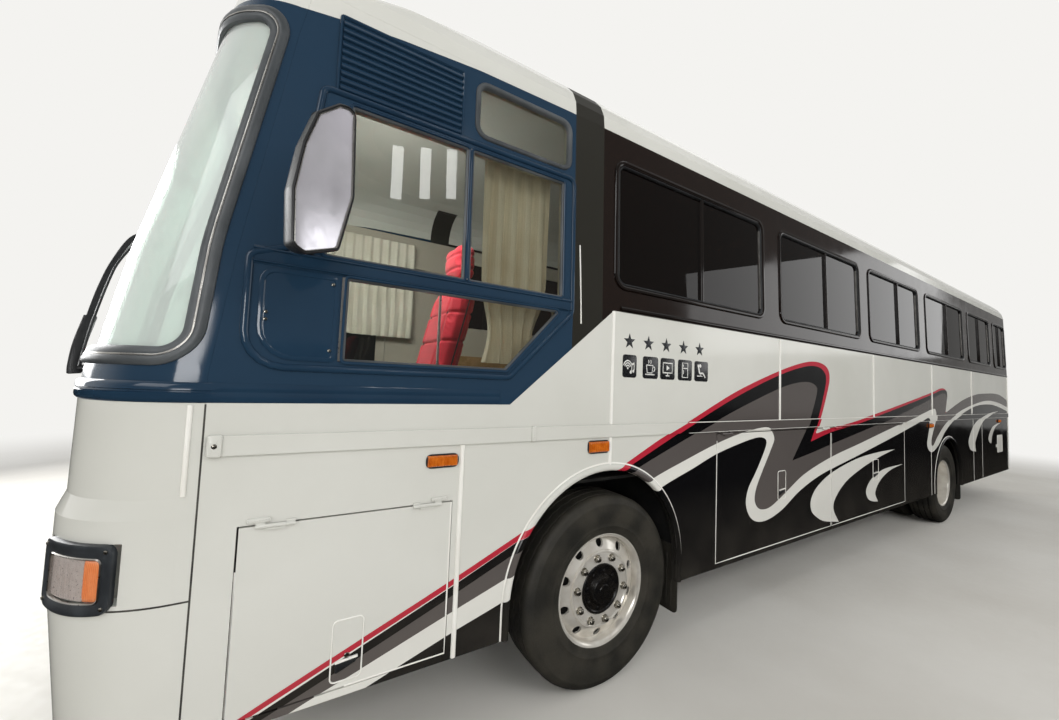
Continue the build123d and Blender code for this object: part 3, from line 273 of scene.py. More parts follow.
ribbonLow = [
    [(5.2, 0.33), (5.02, 0.393), (4.91, 0.432), (4.56, 0.543), (4.21, 0.645), (3.7, 0.83), (3.28, 1.012),
     (2.96, 1.112), (2.71, 1.19), (2.39, 1.256), (2.2, 1.279), (2.11, 1.25), (2.14, 1.17), (2.25, 1.028),
     (2.34, 0.926), (2.37, 0.822), (2.32, 0.725), (2.22, 0.675), (2.07, 0.672), (1.87, 0.722), (1.61, 0.832),
     (1.29, 0.92), (1.0, 0.97), (0.47, 1.052), (-0.42, 1.195), (-1.2, 1.33), (-1.45, 1.375), (-1.53, 1.335),
     (-1.52, 1.238), (-1.44, 1.07), (-1.51, 0.982), (-1.66, 0.962), (-1.9, 1.049), (-2.15, 1.194),
     (-2.6, 1.346), (-3.51, 1.512), (-4.33, 1.551), (-5.0, 1.51), (-5.8, 1.409)],
]
# crescents: front edge then rear edge as (z, x), rising
crescents = [
    ([(0.489, 0.92), (0.53, 1.18), (0.581, 1.32), (0.651, 1.42), (0.749, 1.42), (0.848, 1.29), (0.94, 1.0),
      (1.02, 0.5), (1.05, 0.0), (1.056, -0.41)],
     [(0.489, 0.92), (0.613, 1.02), (0.712, 0.97), (0.828, 0.76), (0.921, 0.42), (1.0, 0.0), (1.056, -0.41)]),
    ([(0.563, 0.05), (0.58, 0.18), (0.62, 0.29), (0.702, 0.33), (0.79, 0.22), (0.85, 0.02), (0.876, -0.2),
      (0.884, -0.64)],
     [(0.563, 0.05), (0.659, 0.11), (0.767, -0.02), (0.847, -0.29), (0.884, -0.64)]),
    ([(0.856, -3.57), (0.88, -3.36), (0.93, -3.24), (1.048, -3.21), (1.245, -3.49), (1.36, -3.95),
      (1.42, -4.5), (1.44, -4.97)],
     [(0.856, -3.57), (0.94, -3.54), (1.033, -3.58), (1.265, -3.94), (1.384, -4.44), (1.44, -4.97)]),
    ([(0.934, -4.46), (0.97, -4.33), (1.053, -4.31), (1.188, -4.55), (1.235, -4.85), (1.25, -5.09)],
     [(0.934, -4.46), (1.06, -4.54), (1.184, -4.74), (1.25, -5.09)]),
]


def spline(points, steps=8):
    # Catmull-Rom through points: every span is the cubic through its two ends, with slopes of half the neighbours'
    # difference
    p = np.array(points, float)
    ends = np.vstack([2 * p[0] - p[1], p, 2 * p[-1] - p[-2]])
    t = np.linspace(0, 1, steps + 1)[None, :-1, None]
    a, b, c, d = (ends[i:len(ends) - 3 + i][:, None] for i in range(4))
    curve = 0.5 * (2 * b + (c - a) * t + (2 * a - 5 * b + 4 * c - d) * t ** 2 + (3 * b - a - 3 * c + d) * t ** 3)
    return np.vstack([curve.reshape(-1, p.shape[1]), p[-1:]])


def allOf(tree, first, *rest):
    # the product of masks that are each 0 or 1
    for mask in rest:
        first = addNode(tree, "Math", "MULTIPLY", first, mask)
    return first


def between(tree, value, low, high):
    # 1 where value is over low and under high
    return allOf(tree, addNode(tree, "Math", "GREATER_THAN", value, low),
                 addNode(tree, "Math", "LESS_THAN", value, high))


def curveThrough(tree, source, low, high, along, across, span):
    # a float curve over source from low to high, its points the straight spans of (along, across)
    inside = (along > low) & (along < high)
    stations = np.unique(np.concatenate([np.linspace(low, high, 40), along[inside][::3]]))
    heights = np.interp(stations, along, across) / span
    scaled = addNode(tree, "MapRange", "LINEAR", source, low, high, 0.0, 1.0)
    node = addNode(tree, "FloatCurve", Value=scaled)
    points = node.mapping.curves[0].points
    for index, (station, height) in enumerate(zip((stations - low) / (high - low), heights)):
        point = points[index] if index < 2 else points.new(station, height)
        point.location = (station, height)
        point.handle_type = "VECTOR"
    node.mapping.update()
    return addNode(tree, "Math", "MULTIPLY", node, span)


def edgeHeight(tree, station, runs):
    # the painted edge's height at a station: smooth through each run, sharp where runs meet
    line = np.vstack([spline(run, 12) for run in runs])
    along = np.maximum.accumulate(-line[:, 0] - stationLean * line[:, 1]) + np.arange(len(line)) * 1e-7
    height = None
    for low, high in zip(chunkEdges[:-1], chunkEdges[1:]):
        part = curveThrough(tree, station, low, high, along, line[:, 1], 2.2)
        if height is None:
            height = part
        else:
            past = addNode(tree, "Math", "GREATER_THAN", station, low)
            height = addNode(tree, "Mix", "FLOAT", past, height, part)
    return height


def makeCoachPaint(look):
    material, tree = newMaterial("coachPaint")
    place = addNode(tree, "TexCoord").outputs["Object"]
    ways = addNode(tree, "SeparateXYZ", "", place)
    x, y, z = ways.outputs["X"], ways.outputs["Y"], ways.outputs["Z"]
    side = addNode(tree, "Math", "ABSOLUTE", y)
    back = addNode(tree, "Math", "MULTIPLY", x, -1.0)
    station = addNode(tree, "Math", "MULTIPLY_ADD", z, -stationLean, back)
    patches = addNode(tree, "TexNoise", Vector=place, Scale=0.9, Detail=4)
    tone = addNode(tree, "MapRange", "LINEAR", patches, 0.35, 0.68)
    colour = addNode(tree, "Mix", "RGBA", tone, linearColour(look["body"]), linearColour(look["bodyShade"]))
    # the swoosh lies on the sides only, between the corner seams
    flank = allOf(tree, addNode(tree, "Math", "GREATER_THAN", side, 1.15), between(tree, x, -5.608, 5.418))
    for runs, shade in ((redTop, "red"), (redLow, "black"), (greyTop, "grey"), (ribbonTop, "ribbon"),
                        (ribbonLow, "black")):
        edge = edgeHeight(tree, station, runs)
        under = allOf(tree, addNode(tree, "Math", "LESS_THAN", z, edge), flank)
        colour = addNode(tree, "Mix", "RGBA", under, colour, linearColour(look[shade]))
        if runs is redLow:
            # a thin white line follows under the red, widening towards the front
            width = addNode(tree, "MapRange", "LINEAR", x, 4.1, 5.3, 0.0, look["lineWidth"])
            foot = addNode(tree, "Math", "SUBTRACT", edge, width)
            thin = allOf(tree, addNode(tree, "Math", "GREATER_THAN", z, foot), under)
            colour = addNode(tree, "Mix", "RGBA", thin, colour, linearColour(look["ribbon"]))
    shifted = addNode(tree, "Math", "ADD", x, 6.0)
    for front, rear in crescents:
        low, high = front[0][0], front[-1][0]
        fit = allOf(tree, flank, between(tree, z, low, high))
        for points, operation in ((front, "LESS_THAN"), (rear, "GREATER_THAN")):
            line = spline(points, 12)
            along = np.maximum.accumulate(line[:, 0]) + np.arange(len(line)) * 1e-7
            edge = curveThrough(tree, z, low, high, along, line[:, 1] + 6.0, 12.0)
            fit = allOf(tree, fit, addNode(tree, "Math", operation, shifted, edge))
        colour = addNode(tree, "Mix", "RGBA", fit, colour, linearColour(look["ribbon"]))
    # dark mask ahead of the slanting line, window band behind it, and the hoop between them
    rise = addNode(tree, "Math", "SUBTRACT", z, maskFoot)
    slant = addNode(tree, "Math", "MULTIPLY_ADD", rise, -1.2173, 4.304)
    onMask = allOf(tree, addNode(tree, "Math", "GREATER_THAN", x, slant),
                   addNode(tree, "Math", "GREATER_THAN", z, maskFoot))
    overBand = addNode(tree, "Math", "GREATER_THAN", z, bandFoot)
    dark = addNode(tree, "Math", "MAXIMUM", onMask, overBand)
    roofLine = np.array([(-6.0, 3.057), (4.0, 3.055), (4.52, 3.045), (4.885, 3.015), (5.11, 2.983), (5.245, 2.96),
                         (6.0, 2.96)])
    top = curveThrough(tree, x, 3.8, 5.4, roofLine[:, 0], roofLine[:, 1], 4.0)
    dark = allOf(tree, dark, addNode(tree, "Math", "LESS_THAN", z, top))
    isFront = addNode(tree, "Math", "GREATER_THAN", x, 3.755)
    darkTone = addNode(tree, "Mix", "RGBA", isFront, linearColour(look["band"]), linearColour(look["mask"]))
    colour = addNode(tree, "Mix", "RGBA", dark, colour, darkTone)
    darkOrHigh = addNode(tree, "Math", "MAXIMUM", addNode(tree, "Math", "GREATER_THAN", z, 2.9), dark)
    hoop = allOf(tree, between(tree, x, 3.755, 3.955), darkOrHigh,
                 addNode(tree, "Math", "GREATER_THAN", side, 0.98))
    colour = addNode(tree, "Mix", "RGBA", hoop, colour, linearColour(look["olive"]))
    # the walls' inner faces are cream laminate
    high = addNode(tree, "Math", "MAXIMUM", z, bandFoot)
    lean = addNode(tree, "Math", "MULTIPLY_ADD", high, 0.0262, side)
    inner = allOf(tree, addNode(tree, "Math", "LESS_THAN", lean, 1.245 + bandFoot * 0.0262),
                  addNode(tree, "Math", "LESS_THAN", z, 3.03), between(tree, x, -5.59, 5.2))
    belowFloor = addNode(tree, "Math", "LESS_THAN", z, 1.10)
    lining = addNode(tree, "Mix", "RGBA", belowFloor, linearColour(look["inside"]), linearColour(look["under"]))
    colour = addNode(tree, "Mix", "RGBA", inner, colour, lining)
    # road dust gathers low down, in cloudy patches
    low = addNode(tree, "MapRange", "LINEAR", z, 1.0, 0.4, 0.0, 0.16)
    cloud = addNode(tree, "TexNoise", Vector=place, Scale=5.0, Detail=5)
    dust = addNode(tree, "Math", "MULTIPLY", low, cloud)
    colour = addNode(tree, "Mix", "RGBA", dust, colour, linearColour(look["roadDust"]))
    # gloss: dull on the hoop and inside, deep elsewhere, with cloudy wipe marks
    wipe = addNode(tree, "MapRange", "LINEAR", cloud, 0.3, 0.75, 0.07, 0.16)
    dull = addNode(tree, "Math", "MAXIMUM", hoop, inner)
    rough = addNode(tree, "Mix", "FLOAT", dull, wipe, 0.5)
    # hand-finished panels wave slightly over half a metre; the peel is 3 mm, drawn a little coarse to show
    wave = addNode(tree, "TexNoise", Vector=place, Scale=1.6, Detail=1)
    peel = addNode(tree, "TexNoise", Vector=place, Scale=250.0, Detail=1)
    waved = addNode(tree, "Bump", Strength=1.0, Distance=0.0022, Height=wave)
    peeled = addNode(tree, "Bump", Strength=1.0, Distance=0.00002, Height=peel, Normal=waved)
    shader = addNode(tree, "BsdfPrincipled", Base_Color=colour, Roughness=rough, Normal=peeled, IOR=1.5)
    addNode(tree, "OutputMaterial", Surface=shader)
    return material


coachPaint = makeCoachPaint(paint)
print("coach paint mixed")

# ---- finishes, each named for what the real one is, or for the light or shade painted into it

# two tones, the size of the patches they change over, the grain's size, roughness from and to, the bump's depth,
# all sizes in mm, and any further sockets
lookKeys = ("colour", "second", "patchMm", "grainMm", "roughness", "depthMm", "sockets")
looks = {
    # vulcanised tyre rubber, moulded: a dull charcoal with a dusty bloom
    "tyreRubber": ("24231f", "38352e", 160, 5, (0.5, 0.72), 0.25),
    # forged aluminium, polished: bright and slightly streaky
    "polishedAluminium": ("f2eee6", "ddd8ce", 90, 30, (0.14, 0.2), 0.008, {"Metallic": 0.52}),
    # zinc-plated steel nuts: a softer, warmer shine
    "platedSteel": ("c9c4b8", "aaa59a", 20, 3, (0.18, 0.34), 0.03, {"Metallic": 1.0}),
    # black brushing enamel on the hubs: glossy, with grease in the hollows
    "hubEnamel": ("0b0b0d", "1a1714", 40, 4, (0.18, 0.4), 0.15),
    # gloss enamel over aluminium window sections: near black with a brown cast
    "bandEnamel": ("0f0a08", "17100d", 500, 120, (0.05, 0.14), 0.12),
    # the mask's navy-black enamel on its frames
    "navyEnamel": ("1b2f42", "20364a", 500, 120, (0.05, 0.13), 0.12),
    # white body enamel on mouldings and pinstripe edges, and the painted highlights along the rub rail's and hoop's
    # edges
    "whiteEnamelAndPaintedHighlights": ("f0efea", "e6e4dd", 300, 60, (0.1, 0.2), 0.05),
    # extruded EPDM glazing rubber: soft black-grey
    "glazingRubber": ("1c1d1f", "292b2d", 120, 4, (0.34, 0.55), 0.1),
    # sun-greyed glazing rubber round the windscreen
    "greyedRubber": ("54585b", "3c4043", 200, 6, (0.3, 0.5), 0.1),
    # mill-finish aluminium channel on the sliding panes
    "channelAluminium": ("b9b7b2", "9b9893", 60, 8, (0.25, 0.4), 0.03, {"Metallic": 1.0}),
    # black ABS, moulded with a fine leather grain
    "mouldedAbs": ("1a1b1d", "242527", 60, 3, (0.3, 0.5), 0.08),
    # slate-grey ABS lamp surround, moulded
    "lampSurround": ("35393d", "282b2f", 60, 3, (0.3, 0.45), 0.08),
    # amber acrylic lens, moulded: saturated and glossy
    "amberLens": ("c96a1e", "b2540f", 25, 6, (0.06, 0.14), 0.15, {"Coat Weight": 0.6}),
    # red acrylic lens, moulded
    "redLens": ("a3131a", "860d13", 25, 6, (0.06, 0.14), 0.15, {"Coat Weight": 0.6}),
    # aluminised lamp reflector behind the lens
    "lampReflector": ("f0ebe8", "e4dcd8", 18, 7, (0.25, 0.45), 0.3, {"Metallic": 0.45}),
    # paler amber bulb chamber behind the headlamp's clear cover
    "amberChamber": ("e08a58", "d87a48", 25, 6, (0.06, 0.14), 0.15, {"Coat Weight": 0.6}),
    # a dark strip where two panels butt: painted shade of the gap between them
    "seamPaintedShade": ("46443f", "2f2e2b", 70, 5, (0.6, 0.85), 0.2),
    # silvered mirror glass
    "mirrorSilver": ("f2f0f8", "e2dfe8", 160, 40, (0.12, 0.26), 0.01, {"Metallic": 0.7}),
    # chassis black over rolled steel, with road grime
    "chassisBlack": ("1a1917", "332e28", 140, 12, (0.5, 0.8), 0.5),
    # grey cast iron, lightly oiled
    "castIron": ("3b3935", "2a2826", 60, 3, (0.45, 0.7), 0.3, {"Metallic": 0.6}),
    # pressed fibreboard liner, black underseal
    "underseal": ("0e0e0e", "1b1a18", 90, 7, (0.7, 0.9), 1.0),
    # injection-moulded dashboard, dark grey grained polypropylene
    "dashPolypropylene": ("2b2c2d", "343536", 200, 3, (0.45, 0.6), 0.12),
    # beech-print laminate on the cabin furniture, closely streaked
    "beechLaminate": ("9a7a55", "86683f", 45, 14, (0.3, 0.45), 0.05),
    # cut vinyl film for the stars
    "starVinyl": ("35373a", "2b2d30", 60, 10, (0.2, 0.32), 0.02),
    # black cut vinyl film under the signs
    "signVinyl": ("1a1b1e", "222326", 60, 10, (0.2, 0.32), 0.02),
    # white cut vinyl film for the signs' figures
    "whiteVinyl": ("e4e4e1", "d8d8d4", 60, 10, (0.2, 0.32), 0.02),
}
finishes = {name: surfaceFinish(name, dict(zip(lookKeys, row))) for name, row in looks.items()}
finishes["coachPaint"] = coachPaint


def paneGlass(name, look):
    # toughened sheet glass with a film: what isn't mirrored passes tinted, or is held by the film's own colour;
    # on the windscreen that held share is near white, a painted reflection; ahead of splitAt the panes carry the
    # second, clearer film
    material, tree = newMaterial(name)
    place = addNode(tree, "TexCoord").outputs["Object"]
    smears = addNode(tree, "TexNoise", Vector=place, Scale=3.0, Detail=4)
    ripple = addNode(tree, "TexNoise", Vector=place, Scale=1.6, Detail=0)
    bump = addNode(tree, "Bump", Strength=1.0, Distance=look["rippleMm"] / 1000, Height=ripple)
    along = addNode(tree, "SeparateXYZ", "", place)
    ahead = addNode(tree, "Math", "GREATER_THAN", along.outputs["X"], look.get("splitAt", 50))
    tint = addNode(tree, "Mix", "RGBA", ahead, linearColour(look["tint"]),
                   linearColour(look.get("tintAhead", look["tint"])))
    solid = addNode(tree, "Mix", "FLOAT", ahead, look["solid"], look.get("solidAhead", look["solid"]))
    passed = addNode(tree, "BsdfTransparent", Color=tint.outputs[2])
    held = addNode(tree, "BsdfDiffuse", Color=linearColour(look["filmAndPaintedReflection"]))
    body = addNode(tree, "MixShader", "", solid, passed, held)
    rough = addNode(tree, "MapRange", "LINEAR", smears, 0.4, 0.75, 0.0, 0.05)
    mirrored = addNode(tree, "BsdfGlossy", Color=linearColour("f2f2f2"), Roughness=rough, Normal=bump)
    # Schlick's rule for the mirrored share, alike on both faces: 0.04 + 0.9 x facing^5
    facing = addNode(tree, "LayerWeight", Blend=0.5).outputs["Facing"]
    fifth = addNode(tree, "Math", "POWER", facing, look.get("edge", 5.0))
    slant = addNode(tree, "Math", "MULTIPLY_ADD", fifth, 0.9, 0.04)
    pane = addNode(tree, "MixShader", "", slant, body, mirrored)
    addNode(tree, "OutputMaterial", Surface=pane)
    return material


glassLooks = {
    "tintedGlass": {"tint": "6b5d55", "filmAndPaintedReflection": "120b08", "solid": 0.45, "rippleMm": 0.5, "splitAt": 3.9,
                    "tintAhead": "e2e4e0", "solidAhead": 0.02},
    # the windscreen's near-white film share is a painted reflection that shows the glass bright
    "screenGlass": {"tint": "e6f2ec", "filmAndPaintedReflection": "f6fcf9", "solid": 0.42, "rippleMm": 0.3, "edge": 3.2},
    "doorGlass": {"tint": "5d5f60", "filmAndPaintedReflection": "101214", "solid": 0.5, "rippleMm": 0.4},
    "lensGlass": {"tint": "f2eeec", "filmAndPaintedReflection": "d9d2cf", "solid": 0.10, "rippleMm": 0.3},
}
for name, look in glassLooks.items():
    finishes[name] = paneGlass(name, look)
print("finishes made:", len(finishes))

# ---- shapes

def gridQuads(rows, cols, wrapRows=False, wrapCols=False):
    # quads between neighbouring points of a grid, joined round where a direction wraps
    r, c = np.meshgrid(np.arange(rows if wrapRows else rows - 1), np.arange(cols if wrapCols else cols - 1),
                       indexing="ij")
    nextRow, nextCol = (r + 1) % rows, (c + 1) % cols
    return np.stack([r * cols + c, nextRow * cols + c, nextRow * cols + nextCol, r * cols + nextCol], -1).reshape(-1, 4)


def roundedLoop(corners, radius, steps=6):
    # every corner is cut back by radius / tan(half its angle) and filled with an arc
    corners = np.array(corners, float)
    radii = np.maximum(np.broadcast_to(np.array(radius, float), len(corners)), 1e-4)
    before, after = np.roll(corners, 1, 0) - corners, np.roll(corners, -1, 0) - corners
    before, after = (way / np.linalg.norm(way, axis=1)[:, None] for way in (before, after))
    half = np.arccos(np.clip(np.sum(before * after, 1), -0.9999, 0.9999)) / 2
    inwards = (before + after) / np.linalg.norm(before + after, axis=1)[:, None]
    middle = corners + inwards * (radii / np.sin(half))[:, None]
    start = corners + before * (radii / np.tan(half))[:, None] - middle
    finish = corners + after * (radii / np.tan(half))[:, None] - middle
    first = np.arctan2(start[:, 1], start[:, 0])
    turn = (np.arctan2(finish[:, 1], finish[:, 0]) - first + math.pi) % (2 * math.pi) - math.pi
    angle = first[:, None] + turn[:, None] * np.linspace(0, 1, steps)
    arc = np.stack([np.cos(angle), np.sin(angle)], -1) * radii[:, None, None]
    return (middle[:, None] + arc).reshape(-1, 2)


def insetLoop(loop, amount):
    # each point moves to the loop's inside, square to the mean of its two edges
    ahead, behind = np.roll(loop, -1, 0) - loop, loop - np.roll(loop, 1, 0)
    ahead, behind = (way / np.maximum(np.linalg.norm(way, axis=1)[:, None], 1e-9) for way in (ahead, behind))
    along = ahead + behind
    along = along / np.maximum(np.linalg.norm(along, axis=1)[:, None], 1e-9)
    area = np.sum(loop[:, 0] * np.roll(loop[:, 1], -1) - loop[:, 1] * np.roll(loop[:, 0], -1))
    square = np.stack([-along[:, 1], along[:, 0]], 1) * np.sign(area)
    spread = amount / np.maximum(np.sum(ahead * along, 1), 0.55)
    return loop + square * spread[:, None]


def stackLoops(loop, levels, ringOnly=False):
    # the loop repeated at each (inset, height); capped at both ends, or joined round as a frame's section
    rings = np.stack([np.column_stack([insetLoop(loop, inset), np.full(len(loop), height)])
                      for inset, height in levels])
    n, k = len(loop), len(levels)
    faces = gridQuads(k, n, wrapRows=ringOnly, wrapCols=True).tolist()
    if not ringOnly:
        faces += [list(range(n)), list(range((k - 1) * n, k * n))]
    return rings.reshape(-1, 3), faces


def carried(path, profile, outward, closed=False):
    # profile points (aside, out) at every path point: aside is tangent x outward, out is outward made square
    path, profile = np.array(path, float), np.array(profile, float)
    if closed:
        tangent = np.roll(path, -1, 0) - np.roll(path, 1, 0)
    else:
        tangent = np.gradient(path, axis=0)
    tangent = tangent / np.linalg.norm(tangent, axis=1)[:, None]
    outward = np.broadcast_to(np.array(outward, float), path.shape)
    out = outward - np.sum(outward * tangent, 1)[:, None] * tangent
    out = out / np.linalg.norm(out, axis=1)[:, None]
    aside = np.cross(tangent, out)
    rings = path[:, None] + aside[:, None] * profile[None, :, :1] + out[:, None] * profile[None, :, 1:]
    n, k = len(path), len(profile)
    faces = gridQuads(n, k, wrapRows=closed, wrapCols=True).tolist()
    if not closed:
        faces += [list(range(k)), list(range((n - 1) * k, n * k))]
    return rings.reshape(-1, 3), faces


def turned(profile, centre, steps=96, sign=1):
    # the (y, radius) profile turned about the axle through centre (x, z)
    profile = np.array(profile, float)
    angle = np.linspace(0, 2 * math.pi, steps, endpoint=False)[:, None]
    x = centre[0] + np.cos(angle) * profile[None, :, 1]
    z = centre[1] + np.sin(angle) * profile[None, :, 1]
    y = np.broadcast_to(sign * profile[None, :, 0], x.shape)
    return np.stack([x, y, z], -1).reshape(-1, 3), gridQuads(steps, len(profile), wrapRows=True).tolist()


def halfRound(width, rise, steps=9):
    # a flat-backed bead: half an ellipse of that width and rise
    angle = np.linspace(0, math.pi, steps)
    return np.stack([np.cos(angle) * width / 2, np.sin(angle) * rise], 1)


def disc(x, z, r, steps=20):
    # points round a circle of radius r about (x, z)
    angle = np.linspace(0, 2 * math.pi, steps, endpoint=False)
    return np.column_stack([x + r * np.cos(angle), z + r * np.sin(angle)])


def wire(radius, steps=10):
    # a round section
    return disc(0, 0, radius, steps)


def wallY(z):
    # the side wall's distance from the middle: upright, then leaning in above the band's lower edge
    return wallHalf - np.maximum(0, np.asarray(z) - bandFoot) * wallLean


def onWall(part, sign, lift=0.0):
    # (x, z, height over the wall) to space, on the left for sign 1 and the right for -1
    points, faces = part
    x, z, w = points.T
    return np.stack([x, sign * (wallY(z) + w + lift), z], 1), faces


def addPiece(name, parts, finish, crease=30, replaces=(), body="coach", closed=True):
    # joins parts into one mesh, with outward normals and smooth shading below the crease angle
    points, faces, count = [], [], 0
    for p, f in parts:
        points.append(np.asarray(p, float))
        faces += [[i + count for i in face] for face in f]
        count += len(p)
    mesh = bpy.data.meshes.new(name)
    mesh.from_pydata(np.vstack(points).tolist(), [], faces)
    mesh.validate()
    if closed:
        shape = bmesh.new()
        shape.from_mesh(mesh)
        bmesh.ops.remove_doubles(shape, verts=shape.verts, dist=0.00002)
        bmesh.ops.recalc_face_normals(shape, faces=shape.faces)
        shape.to_mesh(mesh)
        shape.free()
    mesh.shade_smooth()
    mesh.set_sharp_from_angle(angle=math.radians(crease))
    mesh.materials.append(finishes[finish])
    piece = bpy.data.objects.new(name, mesh)
    bpy.context.scene.collection.objects.link(piece)
    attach(piece, body)
    if replaces:
        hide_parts(*replaces)
    return piece


sides = ((1, "Left", "left"), (-1, "Right", "right"))

# ---- tyres: ribbed tread with zigzag grooves, sidewalls with two raised rings

tyre = {"radius": 0.506, "half": 0.138, "bead": 0.2864, "grooves": (-0.078, -0.027, 0.027, 0.078), "grooveHalf": 0.005,
        "grooveDepth": 0.013, "zigzag": 0.004, "waves": 48, "steps": 288}
wheelZ = 0.506
frontAxle, rearAxle = 3.655, -2.295


def tyreShape(look, middle, axleX, sign):
    # section rows go from the inner bead over the tread to the outer bead; groove rows swing sideways with the angle
    wall = np.array([(0.1051, look["bead"]), (0.1135, 0.296), (0.1165, 0.303), (0.1215, 0.318), (0.1275, 0.334),
                     (0.1295, 0.337), (0.1300, 0.342), (0.1290, 0.345), (0.1325, 0.365), (0.1365, 0.392), (0.138, 0.41),
                     (0.1378, 0.43), (0.1352, 0.452), (0.1355, 0.455), (0.1345, 0.462), (0.1315, 0.466),
                     (0.1275, 0.476), (0.1225, 0.485), (0.1180, 0.4905), (0.1120, 0.4960), (0.1050, 0.4995)])
    rows, sway = [], []
    for y in look["grooves"]:
        w, d = look["grooveHalf"], look["grooveDepth"]
        crown = look["radius"] - 0.0055 * (y / 0.105) ** 2
        rows += [(y - w - 0.012, crown), (y - w - 0.0012, crown), (y - w, crown - 0.0012), (y - w * 0.6, crown - d),
                 (y + w * 0.6, crown - d), (y + w, crown - 0.0012), (y + w + 0.0012, crown), (y + w + 0.012, crown)]
        sway += [0, 1, 1, 1, 1, 1, 1, 0]
    tread = np.array(rows)
    profile = np.vstack([wall * (-1, 1), tread, wall[::-1]])
    sway = np.concatenate([np.zeros(len(wall)), sway, np.zeros(len(wall))])
    angle = np.linspace(0, 2 * math.pi, look["steps"], endpoint=False)[:, None]
    zig = np.abs((angle * look["waves"] / math.pi) % 2 - 1) * 2 - 1
    y = profile[None, :, 0] + sway[None] * zig * look["zigzag"]
    x = axleX + np.cos(angle) * profile[None, :, 1]
    z = wheelZ + np.sin(angle) * profile[None, :, 1]
    points = np.stack([x, sign * (middle + y), z], -1).reshape(-1, 3)
    # the bead rows join underneath, so the shell is closed
    return points, gridQuads(look["steps"], len(profile), wrapRows=True, wrapCols=True).tolist()


# ---- rims: polished disc wheels with ten round hand holes, ten nuts and a black hub

frontRim = {"middle": 1.107, "face": 0.098, "faceRadius": 0.2, "cone": (0.205, 0.272), "coneY": (0.093, 0.060),
            "holeCircle": 0.2385, "holeRadius": 0.0235, "nutCircle": 0.1675, "lip": 0.112, "hub": 0.132}
rearRim = {"middle": 1.087, "face": -0.141, "faceRadius": 0.2, "cone": (0.21, 0.272), "coneY": (-0.137, -0.089),
           "holeCircle": 0.241, "holeRadius": 0.0225, "nutCircle": 0.1675, "lip": 0.112, "hub": 0.132}


def rimShape(look, axleX, sign):
    # lathe rings outside and inside a band whose ten sectors each blend from a round hole to the sector's edge
    m = look["middle"]
    (r1, r2), (y1, y2) = look["cone"], look["coneY"]
    f, edge, lip = look["face"], look["faceRadius"], look["lip"]
    inner = [(m + y1 - 0.014, r1), (m + f - 0.014, edge - 0.01), (m + f - 0.014, 0.09), (m + f, 0.09),
             (m + f, edge - 0.012), (m + f + 0.004, edge - 0.008), (m + f + 0.005, edge - 0.002),
             (m + f + 0.003, edge + 0.002), (m + y1, r1)]
    outer = [(m + y2, r2), (m + y2 + 0.006, 0.2738), (m + y2 + 0.016, 0.2742), (m + 0.094, 0.2742),
             (m + 0.101, 0.2762), (m + 0.107, 0.2815), (m + lip, 0.2895), (m + lip + 0.0015, 0.294),
             (m + lip, 0.2984), (m + lip - 0.004, 0.2984), (m + lip - 0.006, 0.2945),
             (m + 0.1045, 0.288), (m + 0.098, 0.2835), (m - 0.112, 0.2835), (m - 0.112, 0.2742),
             (m + y2 - 0.02, 0.2742), (m + y2 - 0.014, r2)]
    parts = [turned(inner, (axleX, wheelZ), 120, sign), turned(outer, (axleX, wheelZ), 120, sign)]
    middleRadius, half = look["holeCircle"], math.pi / 10
    across = np.linspace(-half, half, 13) * middleRadius
    up = np.linspace(r1, r2, 7) - middleRadius
    sector = np.vstack([np.column_stack([across[:-1], np.full(12, up[0])]),
                        np.column_stack([np.full(6, across[-1]), up[:-1]]),
                        np.column_stack([across[:0:-1], np.full(12, up[-1])]),
                        np.column_stack([np.full(6, across[0]), up[:0:-1]])])
    hole = sector / np.linalg.norm(sector, axis=1)[:, None] * look["holeRadius"]
    # from the back's sector edge in to the hole, through it, and out again over the front
    share = np.array([1.0, 0.65, 0.3, 0.06, 0.0, 0.0, 0.0, 0.06, 0.3, 0.65, 1.0])[:, None, None]
    patch = hole[None] * (1 - share) + sector[None] * share
    sink = np.array([0.014] * 5 + [0.0012] + [0.0] * 5)
    for index in range(10):
        angle = patch[..., 0] / middleRadius + index * 2 * half + half
        radius = middleRadius + patch[..., 1]
        y = m + y1 + (y2 - y1) * (radius - r1) / (r2 - r1) - sink[:, None]
        points = np.stack([axleX + np.cos(angle) * radius, sign * y, wheelZ + np.sin(angle) * radius], -1)
        parts.append((points.reshape(-1, 3), gridQuads(11, 36, wrapCols=True).tolist()))
    return parts


def nutShapes(look, axleX, sign):
    # a washer, a six-sided flank and a domed cap, turned about each stud
    face = look["middle"] + look["face"]
    height = np.array([-0.002, 0.003, 0.004, 0.0045, 0.0165, 0.0185, 0.0235, 0.0265, 0.0275])
    radius = np.array([0.0205, 0.0205, 0.0195, 0.0175, 0.0175, 0.0155, 0.0125, 0.0075, 0.0005])
    angle = np.linspace(0, 2 * math.pi, 24, endpoint=False)
    # flank rows are drawn in towards the flats: radius x cos(30) / cos(angle folded to a sixth)
    folded = (angle + math.pi / 6) % (math.pi / 3) - math.pi / 6
    hexShare = np.array([0, 0, 0, 1, 1, 0.6, 0, 0, 0])[:, None]
    ring = radius[:, None] * (1 - hexShare * (1 - math.cos(math.pi / 6) / np.cos(folded)[None] * 1.06))
    parts = []
    for index in range(10):
        turn = index * math.pi / 5 + 0.12
        x = axleX + math.cos(turn) * look["nutCircle"] + ring * np.cos(angle)
        z = wheelZ + math.sin(turn) * look["nutCircle"] + ring * np.sin(angle)
        y = np.broadcast_to(sign * (face + height)[:, None], x.shape)
        points = np.stack([x, y, z], -1).reshape(-1, 3)
        faces = gridQuads(9, 24, wrapCols=True).tolist() + [list(range(24)), list(range(8 * 24, 9 * 24))]
        parts.append((points, faces))
    return parts


